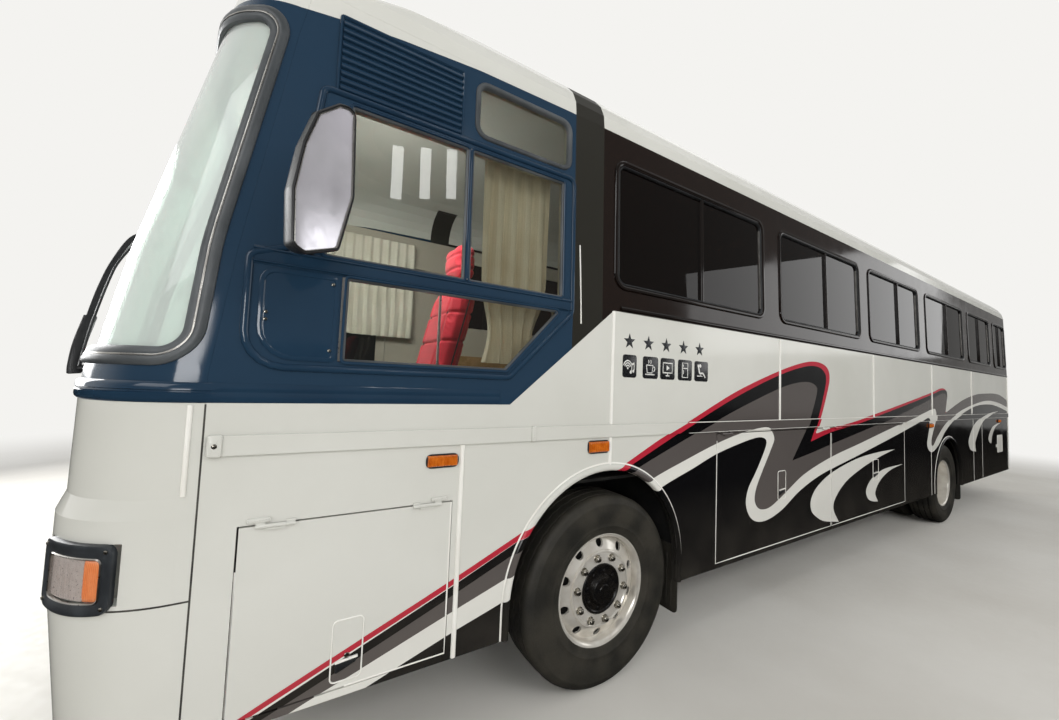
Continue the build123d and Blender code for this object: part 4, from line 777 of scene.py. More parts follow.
def hubShape(look, axleX, sign, reach):
    # a stepped, domed turning with eight flange bolts
    face = look["middle"] + look["face"]
    profile = [(face - 0.012, 0.0), (face - 0.012, look["hub"]), (face + 0.004, look["hub"]),
               (face + 0.007, look["hub"] - 0.004), (face + 0.007, look["hub"] - 0.012),
               (face + 0.0015, look["hub"] - 0.018), (face + 0.0015, 0.079), (face + 0.010, 0.0745),
               (face + reach - 0.008, 0.071), (face + reach - 0.002, 0.067), (face + reach, 0.060),
               (face + reach, 0.034), (face + reach + 0.004, 0.030), (face + reach + 0.004, 0.0)]
    parts = [turned(profile, (axleX, wheelZ), 72, sign)]
    bolt = roundedLoop([(0.009 * math.cos(a), 0.009 * math.sin(a)) for a in np.arange(6) * math.pi / 3], 0.001, 3)
    for index in range(8):
        turn = index * math.pi / 4 + 0.2
        points, faces = stackLoops(bolt, [(0, 0.0), (0, 0.006), (0.001, 0.0075)])
        x = axleX + math.cos(turn) * 0.096 + points[:, 0]
        z = wheelZ + math.sin(turn) * 0.096 + points[:, 1]
        parts.append((np.stack([x, sign * (face + 0.0005 + points[:, 2]), z], 1), faces))
    return parts


# what the hand holes show: the brake drum's rim in front, the inner wheel's disc behind
drumProfile = [(1.155, 0.150), (1.155, 0.250), (1.151, 0.258), (1.146, 0.262), (1.100, 0.262), (1.100, 0.252),
               (1.142, 0.248), (1.146, 0.240), (1.146, 0.150), (1.155, 0.150)]
innerBarrel = [(0.665, 0.2984), (0.669, 0.2984), (0.6725, 0.288), (0.679, 0.2835), (0.875, 0.2835), (0.8815, 0.288),
               (0.885, 0.2984), (0.889, 0.2984), (0.8905, 0.294), (0.889, 0.2895), (0.884, 0.2815), (0.878, 0.2762),
               (0.871, 0.2742), (0.683, 0.2742), (0.676, 0.2762), (0.670, 0.2815), (0.665, 0.2895), (0.6635, 0.294),
               (0.665, 0.2984)]
innerDisc = [(0.9310, 0.090), (0.9310, 0.198), (0.906, 0.250), (0.884, 0.2750), (0.870, 0.2750), (0.890, 0.252),
             (0.917, 0.192), (0.917, 0.090), (0.9310, 0.090)]


for sign, word, low in sides:
    front, rear = f"wheel_front_{low}", f"wheels_rear_{low}"
    addPiece(f"tyreFront{word}", [tyreShape(tyre, 1.107, frontAxle, sign)], "tyreRubber",
             replaces=[f"tyre_front_{low}"], body=front)
    addPiece(f"tyresRear{word}", [tyreShape(tyre, middle, rearAxle, sign) for middle in (0.777, 1.087)], "tyreRubber",
             replaces=[f"tyres_rear_{low}"], body=rear)
    addPiece(f"rimFront{word}", rimShape(frontRim, frontAxle, sign), "polishedAluminium", 28, [f"rim_front_{low}"],
             body=front)
    addPiece(f"rimRear{word}", rimShape(rearRim, rearAxle, sign), "polishedAluminium", 28, [f"rims_rear_{low}"],
             body=rear)
    addPiece(f"rimInner{word}", [turned(innerBarrel, (rearAxle, wheelZ), 120, sign),
             turned(innerDisc, (rearAxle, wheelZ), 120, sign)], "chassisBlack", 28, [f"rims_rear_{low}"], body=rear)
    addPiece(f"drumFront{word}", [turned(drumProfile, (frontAxle, wheelZ), 120, sign)], "underseal", body=front)
    addPiece(f"nutsFront{word}", nutShapes(frontRim, frontAxle, sign), "platedSteel", body=front)
    addPiece(f"nutsRear{word}", nutShapes(rearRim, rearAxle, sign), "platedSteel", body=rear)
    addPiece(f"hubFront{word}", hubShape(frontRim, frontAxle, sign, 0.03), "hubEnamel", body=front)
    addPiece(f"hubRear{word}", hubShape(rearRim, rearAxle, sign, 0.1), "hubEnamel", body=rear)
print("wheels turned")

# ---- how the front is wrapped: arc length round the plan, height, and height over the skin

frontSections = np.array([(0.443, 5.771, 5.850, 0.345, 1.265), (0.890, 5.822, 5.905, 0.360, 1.265),
                          (1.150, 5.822, 5.905, 0.360, 1.265), (1.210, 5.800, 5.880, 0.360, 1.265),
                          (1.5066, 5.797, 5.875, 0.360, 1.265), (1.600, 5.791, 5.873, 0.360, 1.265),
                          (2.027, 5.710, 5.800, 0.340, 1.265), (2.850, 5.505, 5.585, 0.262, 1.2434),
                          (2.9996, 5.462, 5.542, 0.250, 1.2395)])


def frontPlan(z):
    # side line, corner arc of radius r about (turn, reach), and one wide arc over the middle
    corner, centre, r, width = (np.interp(z, frontSections[:, 0], frontSections[:, i]) for i in (1, 2, 3, 4))
    turn, reach = corner - r, width - r
    slope = 2 * np.arctan(np.abs(centre - corner) / reach)
    endX, endY = turn + r * np.cos(slope), reach + r * np.sin(slope)
    bow = centre - endX
    wide = (bow ** 2 + endY ** 2) / (2 * bow)
    spread = np.arcsin(endY / wide)
    return turn, reach, r, slope, centre - wide, wide, spread


def onFront(part):
    # (s, z, w): s runs from the middle along the wide arc, the corner arc and the side line
    points, faces = part
    s, z, w = points.T
    turn, reach, r, slope, wideX, wide, spread = frontPlan(z)
    sign, s = np.where(s < 0, -1, 1), np.abs(s)
    first = wide * spread
    second = first + r * (math.pi / 2 - slope)
    a = np.minimum(s, first) / wide
    b = slope + np.clip(s - first, 0, second - first) / r
    x = np.where(s <= first, wideX + (wide + w) * np.cos(a), turn + (r + w) * np.cos(b) - np.maximum(s - second, 0))
    y = np.where(s <= first, (wide + w) * np.sin(a), reach + (r + w) * np.sin(b))
    return np.stack([x, sign * y, z], 1), faces


def frontRun(x, z):
    # the arc length at which the corner reaches that x
    turn, reach, r, slope, wideX, wide, spread = frontPlan(np.asarray(z, float))
    angle = np.arccos(np.clip((x - turn) / r, 0, 1))
    return wide * spread + r * (angle - slope) + np.maximum(turn - x, 0)


def cornerRun(degrees, z):
    turn, reach, r, slope, wideX, wide, spread = frontPlan(np.asarray(z, float))
    return wide * spread + r * (np.radians(degrees) - slope)


def strip(path, profile, closed=False):
    # a section along a path in the skin's own space (along, z, height), raised along its third direction
    return carried(path, profile, (0, 0, 1), closed)


def run(points, step=0.03):
    # points every step along straight lines, so that a long strip bends with the skin
    points = np.array(points, float)
    pieces = [np.linspace(a, b, max(2, int(np.linalg.norm(b - a) / step) + 1))[:-1]
              for a, b in zip(points[:-1], points[1:])]
    return np.vstack(pieces + [points[-1:]])


def flatBar(width, low, high, round_=0.002):
    # a bar's section: width across, from height low to high, its top edges eased
    h = width / 2
    return [(h, low), (h, high - round_), (h - round_, high), (round_ - h, high), (-h, high - round_), (-h, low)]


def wallForm(loop, levels, sign, ringOnly=False):
    return onWall(stackLoops(loop, levels, ringOnly), sign)


def wallRun(points, section, sign, step, lift=0.0):
    return onWall(strip(run(points, step), section), sign, lift)


# ---- side windows: gloss black frames, rubber, a sliding pane's divider with its bright channel

sideWindows = {"spans": ((3.645, 2.165), (1.895, 0.445), (0.185, -1.215), (-1.515, -3.045), (-3.325, -4.525),
                         (-4.805, -5.575)), "low": 2.180, "high": 2.885, "radius": 0.06,
               "dividers": (2.885, 1.115, -0.595, -2.335, -3.925, -5.19)}
frameSection = [(-0.028, -0.001), (-0.028, 0.004), (-0.0255, 0.0075), (-0.021, 0.009), (-0.010, 0.009),
                (-0.006, 0.0065), (-0.001, 0.0055), (0.001, 0.003), (0.001, -0.012), (-0.001, -0.012)]
sealSection = [(0.000, 0.000), (0.003, 0.0035), (0.007, 0.004), (0.011, 0.001), (0.014, -0.006), (0.014, -0.0115),
               (0.000, -0.0115)]


def boxLoop(front, rear, low, high, radius, steps=7):
    return roundedLoop([(rear, low), (front, low), (front, high), (rear, high)], radius, steps)


def windowParts(look, sign):
    frames, seals, bars, channels = [], [], [], []
    for (front, rear), divider in zip(look["spans"], look["dividers"]):
        loop = boxLoop(front, rear, look["low"], look["high"], look["radius"])
        frames.append(wallForm(loop, frameSection, sign, True))
        seals.append(wallForm(loop, sealSection, sign, True))
        low, high = look["low"] + 0.003, look["high"] - 0.003
        bars.append(wallRun([(divider, low, 0), (divider, high, 0)], flatBar(0.034, -0.0118, 0.001), sign, 0.1))
        bars.append(wallRun([(divider, low, 0), (divider, high, 0)], flatBar(0.012, -0.004, 0.005), sign, 0.1))
        for edge in (front - 0.016, rear + 0.016):
            upright = [(edge, low + 0.05, 0), (edge, high - 0.05, 0)]
            channels.append(onWall(strip(upright, flatBar(0.006, -0.0115, -0.004)), sign))
        side = divider - 0.0195
        upright = [(side, low + 0.005, 0), (side, high - 0.005, 0)]
        channels.append(onWall(strip(upright, flatBar(0.005, -0.0115, -0.003)), sign))
    return frames, seals, bars, channels


for sign, word, low in sides:
    frames, seals, bars, channels = windowParts(sideWindows, sign)
    addPiece(f"windowFrames{word}", frames, "bandEnamel")
    addPiece(f"windowSeals{word}", seals, "glazingRubber", 40)
    addPiece(f"windowDividers{word}", bars, "bandEnamel")
    addPiece(f"windowChannels{word}", channels, "channelAluminium")

# ---- the driver's window group: bead, panel, cross bar, channels, louvres

driver = {
    "lower": [(5.029, 1.664), (5.029, 1.980), (4.035, 1.980), (4.334, 1.664)],
    "main": [(5.115, 2.050), (5.045, 2.655), (4.559, 2.655), (4.559, 2.050)],
    "rear": [(4.540, 2.050), (4.540, 2.655), (4.028, 2.655), (4.028, 2.050)],
    "upper": [(4.516, 2.740), (4.516, 2.980), (4.001, 2.980), (4.001, 2.740)],
    "bead": [(5.150, 2.665), (5.215, 2.060), (5.335, 2.015), (5.335, 1.632), (4.316, 1.632), (3.962, 1.975),
             (3.962, 2.690), (5.150, 2.690)],
    "beadRadius": [0.03, 0.05, 0.03, 0.12, 0.04, 0.05, 0.04, 0.03],
    "panel": [(5.302, 1.657), (5.052, 1.657), (5.052, 1.977), (5.302, 1.977)],
    "panelRadius": [0.115, 0.024, 0.024, 0.05], "louvre": (4.605, 5.095, 2.700, 2.990), "blades": 10,
}


def driverParts(look, sign):
    dark, rubber, bright, screws = [], [], [], []
    dark.append(onWall(strip(np.column_stack([roundedLoop(look["bead"], look["beadRadius"]), np.zeros(48)]),
                             halfRound(0.026, 0.011), True), sign))
    panel = roundedLoop(look["panel"], look["panelRadius"])
    dark.append(wallForm(panel, [(0, -0.001), (0, 0.003), (0.003, 0.0045), (0.014, 0.0045), (0.0175, 0.002),
                                 (0.0200, 0.0024)], sign))
    # the cross bar is three ribs, the middle one highest
    for z, width, rise in ((2.0145, 0.066, 0.006), (1.992, 0.010, 0.011), (2.036, 0.012, 0.012)):
        dark.append(wallRun([(5.325, z, 0), (3.966, z, 0)], halfRound(width, rise), sign, 0.2))
    for name in ("lower", "main", "rear"):
        loop = roundedLoop(look[name], 0.012, 4)
        dark.append(wallForm(loop, [(-0.011, -0.001), (-0.011, 0.006), (-0.008, 0.008), (-0.002, 0.008), (0.001, 0.005),
                    (0.001, -0.0118), (-0.002, -0.0118)], sign, True))
        rubber.append(wallForm(loop, [(0.0, 0.001), (0.004, 0.0015), (0.009, -0.003), (0.010, -0.0115), (0.0, -0.0115)],
                      sign, True))
    upper = roundedLoop(look["upper"], 0.045)
    rubber.append(wallForm(upper, [(-0.020, -0.001), (-0.019, 0.004), (-0.014, 0.009), (-0.006, 0.010), (0.001, 0.007),
                  (0.006, 0.001), (0.008, -0.0115), (-0.002, -0.0115)], sign, True))
    # sliding-pane channels, and the bright strip behind the blank panel
    for x, low, high, width in ((4.5495, 2.052, 2.653, 0.014), (5.040, 1.664, 1.978, 0.010)):
        bright.append(wallRun([(x, low, 0), (x, high, 0)], flatBar(width, -0.010, 0.007), sign, 0.2))
    bright.append(onWall(strip([(4.660, 1.668, 0), (4.660, 1.978, 0)], flatBar(0.009, -0.0115, -0.003)), sign))
    x0, x1, z0, z1 = look["louvre"]
    pitch = (z1 - z0) / look["blades"]
    middle = (z0 + z1) / 2
    saw = [(middle - (z0 + pitch * (i + step)), rise) for i in range(look["blades"])
           for step, rise in ((0.0, 0.002), (0.08, 0.011), (0.2, 0.0125), (0.35, 0.011), (0.97, 0.0025))]
    saw = [(z1 - middle + 0.004, -0.001)] + saw + [(middle - z1 - 0.004, -0.001)]
    dark.append(onWall(strip([(x0, middle, 0), (x1, middle, 0)], saw), sign))
    rim = boxLoop(x1 + 0.012, x0 - 0.012, z0 - 0.014, z1 + 0.012, 0.012, 4)
    dark.append(wallForm(rim, [(-0.002, -0.001), (-0.002, 0.006), (0.0, 0.009), (0.006, 0.009), (0.011, 0.004),
                               (0.011, -0.001)], sign, True))
    for x, z in ((5.278, 1.795), (5.278, 1.820), (5.075, 1.700), (5.075, 1.945)):
        head = roundedLoop(disc(x, z, 0.0065, 8), 0.001, 2)
        screws.append(wallForm(head, [(0, 0.001), (0, 0.005), (0.0015, 0.0068), (0.0045, 0.0075)], sign))
    return dark, rubber, bright, screws


dark, rubber, bright, screws = driverParts(driver, 1)
addPiece("driverWindowFrame", dark, "navyEnamel", 32)
addPiece("driverWindowRubber", rubber, "greyedRubber", 40)
addPiece("driverWindowChannels", bright, "channelAluminium")
addPiece("driverPanelScrews", screws, "platedSteel")
print("side windows framed")

# ---- windscreen rubber with its bright insert, middle pillar strip, lip band

screen = {"edge": ((5.470, 1.650), (5.424, 2.110), (5.305, 2.785), (5.283, 2.900)), "radius": 0.09}


def screenLoop(look):
    # one corner at each end of the top and bottom edges, with the pillar edge's own points between
    edge = [(float(frontRun(x, z)), z) for x, z in look["edge"]]
    corners = edge + [(-s, z) for s, z in reversed(edge)]
    radii = [look["radius"], 0.5, 0.5, look["radius"], look["radius"], 0.5, 0.5, look["radius"]]
    loop = roundedLoop(corners, radii, 10)
    ahead = np.roll(loop, -1, 0)
    counts = np.maximum(1, (np.linalg.norm(ahead - loop, axis=1) / 0.04).astype(int))
    return np.vstack([np.linspace(a, b, n, endpoint=False) for a, b, n in zip(loop, ahead, counts)])


loop = screenLoop(screen)
rubberLevels = [(-0.030, -0.002), (-0.029, 0.006), (-0.022, 0.012), (-0.008, 0.014), (0.002, 0.010), (0.004, 0.0085),
                (0.010, 0.010), (0.022, 0.008), (0.030, 0.001), (0.031, -0.010), (-0.002, -0.010)]
insertLevels = [(0.000, 0.007), (0.000, 0.0115), (0.003, 0.0122), (0.006, 0.0115), (0.006, 0.007)]
addPiece("windscreenRubber", [onFront(stackLoops(loop, rubberLevels, True))], "greyedRubber", 40)
addPiece("windscreenInsert", [onFront(stackLoops(loop, insertLevels, True))], "channelAluminium", 40)
pillar = run([(0, 1.655, 0), (0, 2.895, 0)])
addPiece("screenPillarStrip", [onFront(strip(pillar, flatBar(0.058, -0.004, 0.011, 0.006))),
                               onFront(strip(pillar, halfRound(0.022, 0.016)))], "greyedRubber", 40)
# the lip sinks by two thirds where it leaves the front's corner and runs back along the mask's foot
lipHeight = 1.541
lipSection = [(0.031, -0.002), (0.031, 0.004), (0.026, 0.009), (0.018, 0.0115), (0.004, 0.0125), (0.001, 0.0085),
              (-0.004, 0.0085), (-0.007, 0.0125), (-0.018, 0.0115), (-0.026, 0.009), (-0.031, 0.004), (-0.031, -0.002)]
points, faces = strip(run([(-float(frontRun(5.222, lipHeight)), lipHeight, 0),
                           (float(frontRun(4.360, lipHeight)), lipHeight, 0)]), lipSection)
past = np.clip((np.abs(points[:, 0]) - float(frontRun(5.46, lipHeight))) / 0.10, 0, 1)
points[:, 2] *= 1 - 0.65 * past * past * (3 - 2 * past)
addPiece("maskLip", [onFront((points, faces))], "navyEnamel", 32)
print("windscreen sealed")

# ---- white mouldings, pinstripes, painted highlights on edges, panel joints with painted shade

mouldings = {"half": 0.022, "rise": 0.008, "upright": (3.671, 1.925, 0.137, -1.636, -3.385), "top": 2.024,
             "foot": 1.404, "sill": 0.447, "railFoot": 1.334}
sill, railFoot = mouldings["sill"], mouldings["railFoot"]
for sign, word, low in sides:
    uprights = [(x, mouldings["foot"], mouldings["top"]) for x in mouldings["upright"]]
    uprights.append((-5.608, sill, mouldings["top"]))
    if sign > 0:
        uprights += [(4.530, sill, railFoot), (3.671, 1.172, railFoot)]
        # a white line down the hoop's front edge, cut short half way up: a painted highlight where the edge catches the
        # light
        hoopEdgeHighlight = wallRun([(3.900, 1.93, 0), (3.917, 2.345, 0)], halfRound(0.008, 0.004), sign, 0.2)
    parts = [wallRun([(x, a, 0), (x, b, 0)], halfRound(mouldings["half"], mouldings["rise"]), sign, 0.3)
             for x, a, b in uprights]
    addPiece(f"jointMouldings{word}", parts + ([hoopEdgeHighlight] if sign > 0 else []), "whiteEnamelAndPaintedHighlights", 40)
    stripesAndRailHighlights = [wallRun([(x, sill, 0), (x, railFoot, 0)], halfRound(0.009, 0.0016), sign, 0.3)
               for x in (-1.585, -3.445, -3.925)]
    # white lines along the rub rail's two edges, over the dark livery: painted highlights where the rail's edges catch
    # the light
    stripesAndRailHighlights += [wallRun([(3.02, z, 0), (-5.60, z, 0)], halfRound(w, 0.0012), sign, 0.5, 0.012)
                for z, w in ((1.4025, 0.005), (1.3365, 0.003))]
    addPiece(f"panelPinstripes{word}", stripesAndRailHighlights, "whiteEnamelAndPaintedHighlights", 40)
    # the dark band's foot ends in a rolled gloss bead
    addPiece(f"bandBead{word}", [wallRun([(3.62, 2.044, 0), (-5.60, 2.044, 0)], halfRound(0.030, 0.010), sign, 0.5)],
             "bandEnamel", 40)
# the corner's white moulding ends at the bumper panel's ledge; below it only the dark seam strips go on, painted shade
# of the panel gaps
heights = np.linspace(1.500, 1.216, 24)
upper = np.column_stack([frontRun(5.458, heights), heights, np.zeros(24)])
addPiece("cornerMouldings", [onFront(strip(upper * (sign, 1, 1), halfRound(0.016, 0.007))) for sign in (1, -1)],
         "whiteEnamelAndPaintedHighlights", 40)
seams = [wallRun([(5.420, 1.503, 0), (5.420, sill, 0)], halfRound(0.0055, 0.0007), sign, 0.1) for sign in (1, -1)]
reach = float(frontRun(5.420, 0.890))
seams.append(onFront(strip(run([(-reach, 0.890, 0), (reach, 0.890, 0)]), halfRound(0.006, 0.0008))))
addPiece("cornerSeams", seams, "seamPaintedShade", 40)

# ---- wheel-arch lips: a rolled lip carrying the paint, with a thin white line round it

arches = {"front": (3.655 + 0.030, 0.585, 0.575), "rear": (-2.295 + 0.030, 0.535, 0.555), "foot": 0.446}


def archPath(centre, radius, middle, foot, offset=0.0):
    # up from the sill, over a half circle, down to the sill
    radius = radius + offset
    angle = np.linspace(0, math.pi, 61)
    arc = np.column_stack([centre + radius * np.cos(angle), middle + radius * np.sin(angle)])
    path = np.vstack([[(centre + radius, foot)], arc, [(centre - radius, foot)]])
    return np.column_stack([path, np.zeros(len(path))])


for sign, word, low in sides:
    lips, lines = [], []
    for centre, radius, middle in (arches["front"], arches["rear"]):
        path = archPath(centre, radius, middle, arches["foot"], 0.010)
        lips.append(onWall(strip(path, [(0.022, -0.001), (0.021, 0.006), (0.014, 0.013), (0.003, 0.016),
                    (-0.008, 0.013), (-0.014, 0.005), (-0.014, -0.030), (-0.010, -0.030), (-0.009, -0.001)]), sign))
        lines.append(onWall(strip(archPath(centre, radius, middle, arches["foot"], 0.0345), halfRound(0.011, 0.0025)),
                            sign))
    addPiece(f"archLips{word}", lips, "coachPaint", 40)
    addPiece(f"archLines{word}", lines, "whiteEnamelAndPaintedHighlights", 40)

# ---- mud flaps: thick moulded rubber with upright ribs, hanging behind the wheels

flaps = {"front": (3.072, 0.985, 1.245), "rear": (-2.846, 0.640, 1.245), "top": 0.640, "foot": 0.235, "thick": 0.008}
for sign, word, low in sides:
    parts = []
    for name in ("front", "rear"):
        x, y0, y1 = flaps[name]
        loop = roundedLoop([(y0, flaps["foot"]), (y1, flaps["foot"]), (y1, flaps["top"]), (y0, flaps["top"])],
                           [0.03, 0.03, 0.004, 0.004], 5)
        levels = [(0.001, 0), (0.0, 0.001), (0.0, flaps["thick"] - 0.001), (0.001, flaps["thick"])]
        points, faces = stackLoops(loop, levels)
        parts.append((np.stack([x - points[:, 2], sign * points[:, 0], points[:, 1]], 1), faces))
        for y in np.arange(y0 + 0.04, y1 - 0.02, 0.035):
            rib = carried([(x - flaps["thick"], sign * y, flaps["foot"] + 0.03),
                           (x - flaps["thick"], sign * y, flaps["top"] - 0.06)], halfRound(0.012, 0.003, 5), (-1, 0, 0))
            parts.append(rib)
            parts.append((rib[0] * (-1, 1, 1) + (2 * x - flaps["thick"], 0, 0), rib[1]))
    addPiece(f"mudFlaps{word}", parts, "tyreRubber", 40)
print("mouldings and lips laid")

# ---- hatches: hinge blocks, pinstripes, and the handle recesses with lock and pull

hatches = {
    "front": {"box": (5.313, 4.564, 0.470, 1.101), "handle": (5.001, 4.898, 0.500, 0.715), "stripe": "right"},
    "middle": {"box": (2.721, 1.068, 0.470, 1.324), "handle": (1.945, 1.835, 0.800, 1.010), "stripe": "all"},
    "rear": {"box": (1.062, -0.699, 0.470, 1.324), "handle": (0.165, 0.035, 0.780, 0.980), "stripe": "all"}}


def handleParts(box, sign):
    # a white rounded rim, a painted plate inside it, a small round lock and a black wedge pull under a white lip
    front, rear, low, high = box
    middle = (front + rear) / 2
    loop = boxLoop(front, rear, low, high, 0.016, 5)
    rim = [wallForm(loop, [(-0.004, -0.001), (-0.004, 0.0025), (-0.001, 0.0040), (0.001, 0.0025), (0.001, -0.001)],
                    sign, True)]
    plate = [wallForm(loop, [(0.002, -0.001), (0.002, 0.0010), (0.010, 0.0012)], sign)]
    height = high - 0.6 * (high - low)
    lock = roundedLoop(disc(middle, height, 0.010, 12), 0.002, 2)
    locks = [wallForm(lock, [(0, 0.001), (0, 0.0035), (0.0015, 0.005), (0.0035, 0.005), (0.004, 0.0035),
                             (0.007, 0.004)], sign)]
    pull = roundedLoop([(front - 0.014, low + 0.030), (rear + 0.020, low + 0.056), (rear + 0.016, low + 0.068),
                        (front - 0.014, low + 0.062)], 0.004, 4)
    pulls = [wallForm(pull, [(0, 0.0005), (0, 0.005), (0.002, 0.008), (0.005, 0.0085)], sign)]
    shade = [(front - 0.012, low + 0.069, 0), (rear + 0.014, low + 0.075, 0)]
    rim.append(onWall(strip(shade, flatBar(0.008, 0.0, 0.009)), sign))
    return rim, plate, locks, pulls


def hatchStripe(box, kind, sign):
    # thin painted edges: one side and part of the foot, or all but the top
    front, rear, low, high = box
    if kind == "right":
        path = [(rear + 0.006, high - 0.006, 0), (rear + 0.006, low + 0.006, 0), (front - 0.36, low + 0.006, 0)]
    else:
        path = [(front - 0.006, high - 0.05, 0), (front - 0.006, low + 0.006, 0), (rear + 0.006, low + 0.006, 0),
                (rear + 0.006, high - 0.05, 0)]
    return [wallRun(path, halfRound(0.007, 0.0012), sign, 0.2)]


for sign, word, low in sides:
    for name, spec in hatches.items():
        body = f"hatch_{low}_{name}"
        if body not in frame["bodies"]:
            continue
        rim, plate, locks, pulls = handleParts(spec["handle"], sign)
        label = f"{name.capitalize()}{word}"
        addPiece(f"handleFrame{label}", rim, "whiteEnamelAndPaintedHighlights", body=body)
        addPiece(f"handlePlate{label}", plate, "coachPaint", body=body)
        addPiece(f"handleLock{label}", locks, "platedSteel", body=body)
        addPiece(f"handlePull{label}", pulls, "mouldedAbs", body=body)
        addPiece(f"hatchPinstripe{label}", hatchStripe(spec["box"], spec["stripe"], sign), "whiteEnamelAndPaintedHighlights", 40, body=body)
        front, rear, foot, top = spec["box"]
        if name == "front":
            blocks = [wallForm(boxLoop(x + 0.035, x - 0.035, top + 0.006, top + 0.022, 0.005, 4),
                               [(0, -0.001), (0, 0.006), (0.003, 0.010), (0.006, 0.0105)], sign)
                      for x in (front - 0.06, rear + 0.06)]
            addPiece(f"hingeCovers{label}", blocks, "coachPaint")

# ---- rub rails: end caps with a screw, a joint cover

railParts, railScrews = [], []
for sign in (1, -1):
    for x0, x1 in ((5.408, 5.367), (4.186, 4.158)):
        cover = boxLoop(x0, x1, 1.333, 1.405, 0.008, 4)
        railParts.append(wallForm(cover, [(0, 0.000), (0, 0.013), (0.003, 0.0165), (0.008, 0.0175)], sign))
    head = disc(5.388, 1.369, 0.008, 12)
    railScrews.append(wallForm(head, [(0, 0.016), (0, 0.0185), (0.002, 0.020), (0.006, 0.0205)], sign))
addPiece("railCovers", railParts, "coachPaint", 32)
addPiece("railScrews", railScrews, "platedSteel")

# ---- marker lamps: a dark base, an amber lens with upright ribs

markers = ((4.689, 4.547, 1.242, 1.300), (3.830, 3.681, 1.252, 1.321), (-1.500, -1.640, 1.252, 1.310),
           (-4.900, -5.040, 1.252, 1.310))


def markerLens(front, rear, low, high, sign):
    # height over the wall is a flat crown easing to the edges, with ribs as a cosine along the lamp
    u, v = np.meshgrid(np.linspace(-1, 1, 73), np.linspace(-1, 1, 17), indexing="ij")
    edge = np.clip((1 - np.abs(u)) * 10, 0, 1) * np.clip((1 - np.abs(v)) * 4, 0, 1)
    crown = 0.004 + 0.013 * np.sqrt(edge) * (1 - 0.10 * v ** 2) + 0.0012 * np.cos(u * math.pi * 9) * edge
    shrink = 1 - 0.05 * (np.abs(u) > 0.97)
    x = (front + rear) / 2 + u * (front - rear) / 2
    z = (low + high) / 2 + v * (high - low) / 2 * shrink
    top = np.stack([x, z, crown], -1).reshape(-1, 3)
    floor = top * (1, 1, 0)
    faces = gridQuads(73, 17).tolist()
    n = 73 * 17
    rim = [*range(17), *range(2 * 17 - 1, n, 17), *range(n - 2, n - 18, -1), *range(n - 34, 0, -17)]
    faces += [[a, b, b + n, a + n] for a, b in zip(rim, rim[1:] + rim[:1])]
    faces.append([i + n for i in rim])
    return onWall((np.vstack([top, floor]), faces), sign)


lenses, bases = [], []
for sign in (1, -1):
    for front, rear, low, high in markers:
        base = boxLoop(front, rear, low, high, 0.022, 6)
        bases.append(wallForm(base, [(0, -0.001), (0, 0.005), (0.003, 0.0065), (0.010, 0.0065)], sign))
        lenses.append(markerLens(front - 0.005, rear + 0.005, low + 0.005, high - 0.005, sign))
addPiece("markerBases", bases, "mouldedAbs", 32)
addPiece("markerLenses", lenses, "amberLens", 38, ["marker_lamps"])

# ---- headlamps: wrapped slate surround, bright ring, clear lens over a reflector, amber end

headlamp = {"outer": (25.0, 67.0, 0.888, 1.086), "lens": (31.0, 61.5, 0.920, 1.042), "amberFrom": 53.5, "sag": 0.010}


def cornerLoop(first, last, low, high, radius, sag, steps=8):
    # corners in (arc length, height); the foot hangs by a parabola of depth sag
    a, b = float(cornerRun(first, 1.0)), float(cornerRun(last, 1.0))
    base = roundedLoop([(a, low), (b, low), (b, high), (a, high)], radius, steps)
    dense = np.vstack([np.linspace(p, q, max(1, int(np.linalg.norm(q - p) / 0.012)), endpoint=False)
                       for p, q in zip(base, np.roll(base, -1, 0))])
    across = (dense[:, 0] - a) / (b - a) * 2 - 1
    share = np.clip((high - dense[:, 1]) / (high - low), 0, 1)
    return np.column_stack([dense[:, 0], dense[:, 1] - sag * (1 - across ** 2) * share])


def lensPatch(first, last, low, high, rise, rib, ribCount):
    # a pillow over the corner: height is rise x (1 - u^8)(1 - v^8) plus upright flutes
    u, v = np.meshgrid(np.linspace(-1, 1, 97), np.linspace(-1, 1, 25), indexing="ij")
    a, b = float(cornerRun(first, 1.0)), float(cornerRun(last, 1.0))
    fall = (1 - u ** 8) * (1 - v ** 8)
    w = 0.004 + rise * fall + rib * np.cos(u * math.pi * ribCount) * fall
    return np.stack([(a + b) / 2 + u * (b - a) / 2, (low + high) / 2 + v * (high - low) / 2, w], -1).reshape(-1, 3), \
        gridQuads(97, 25).tolist()


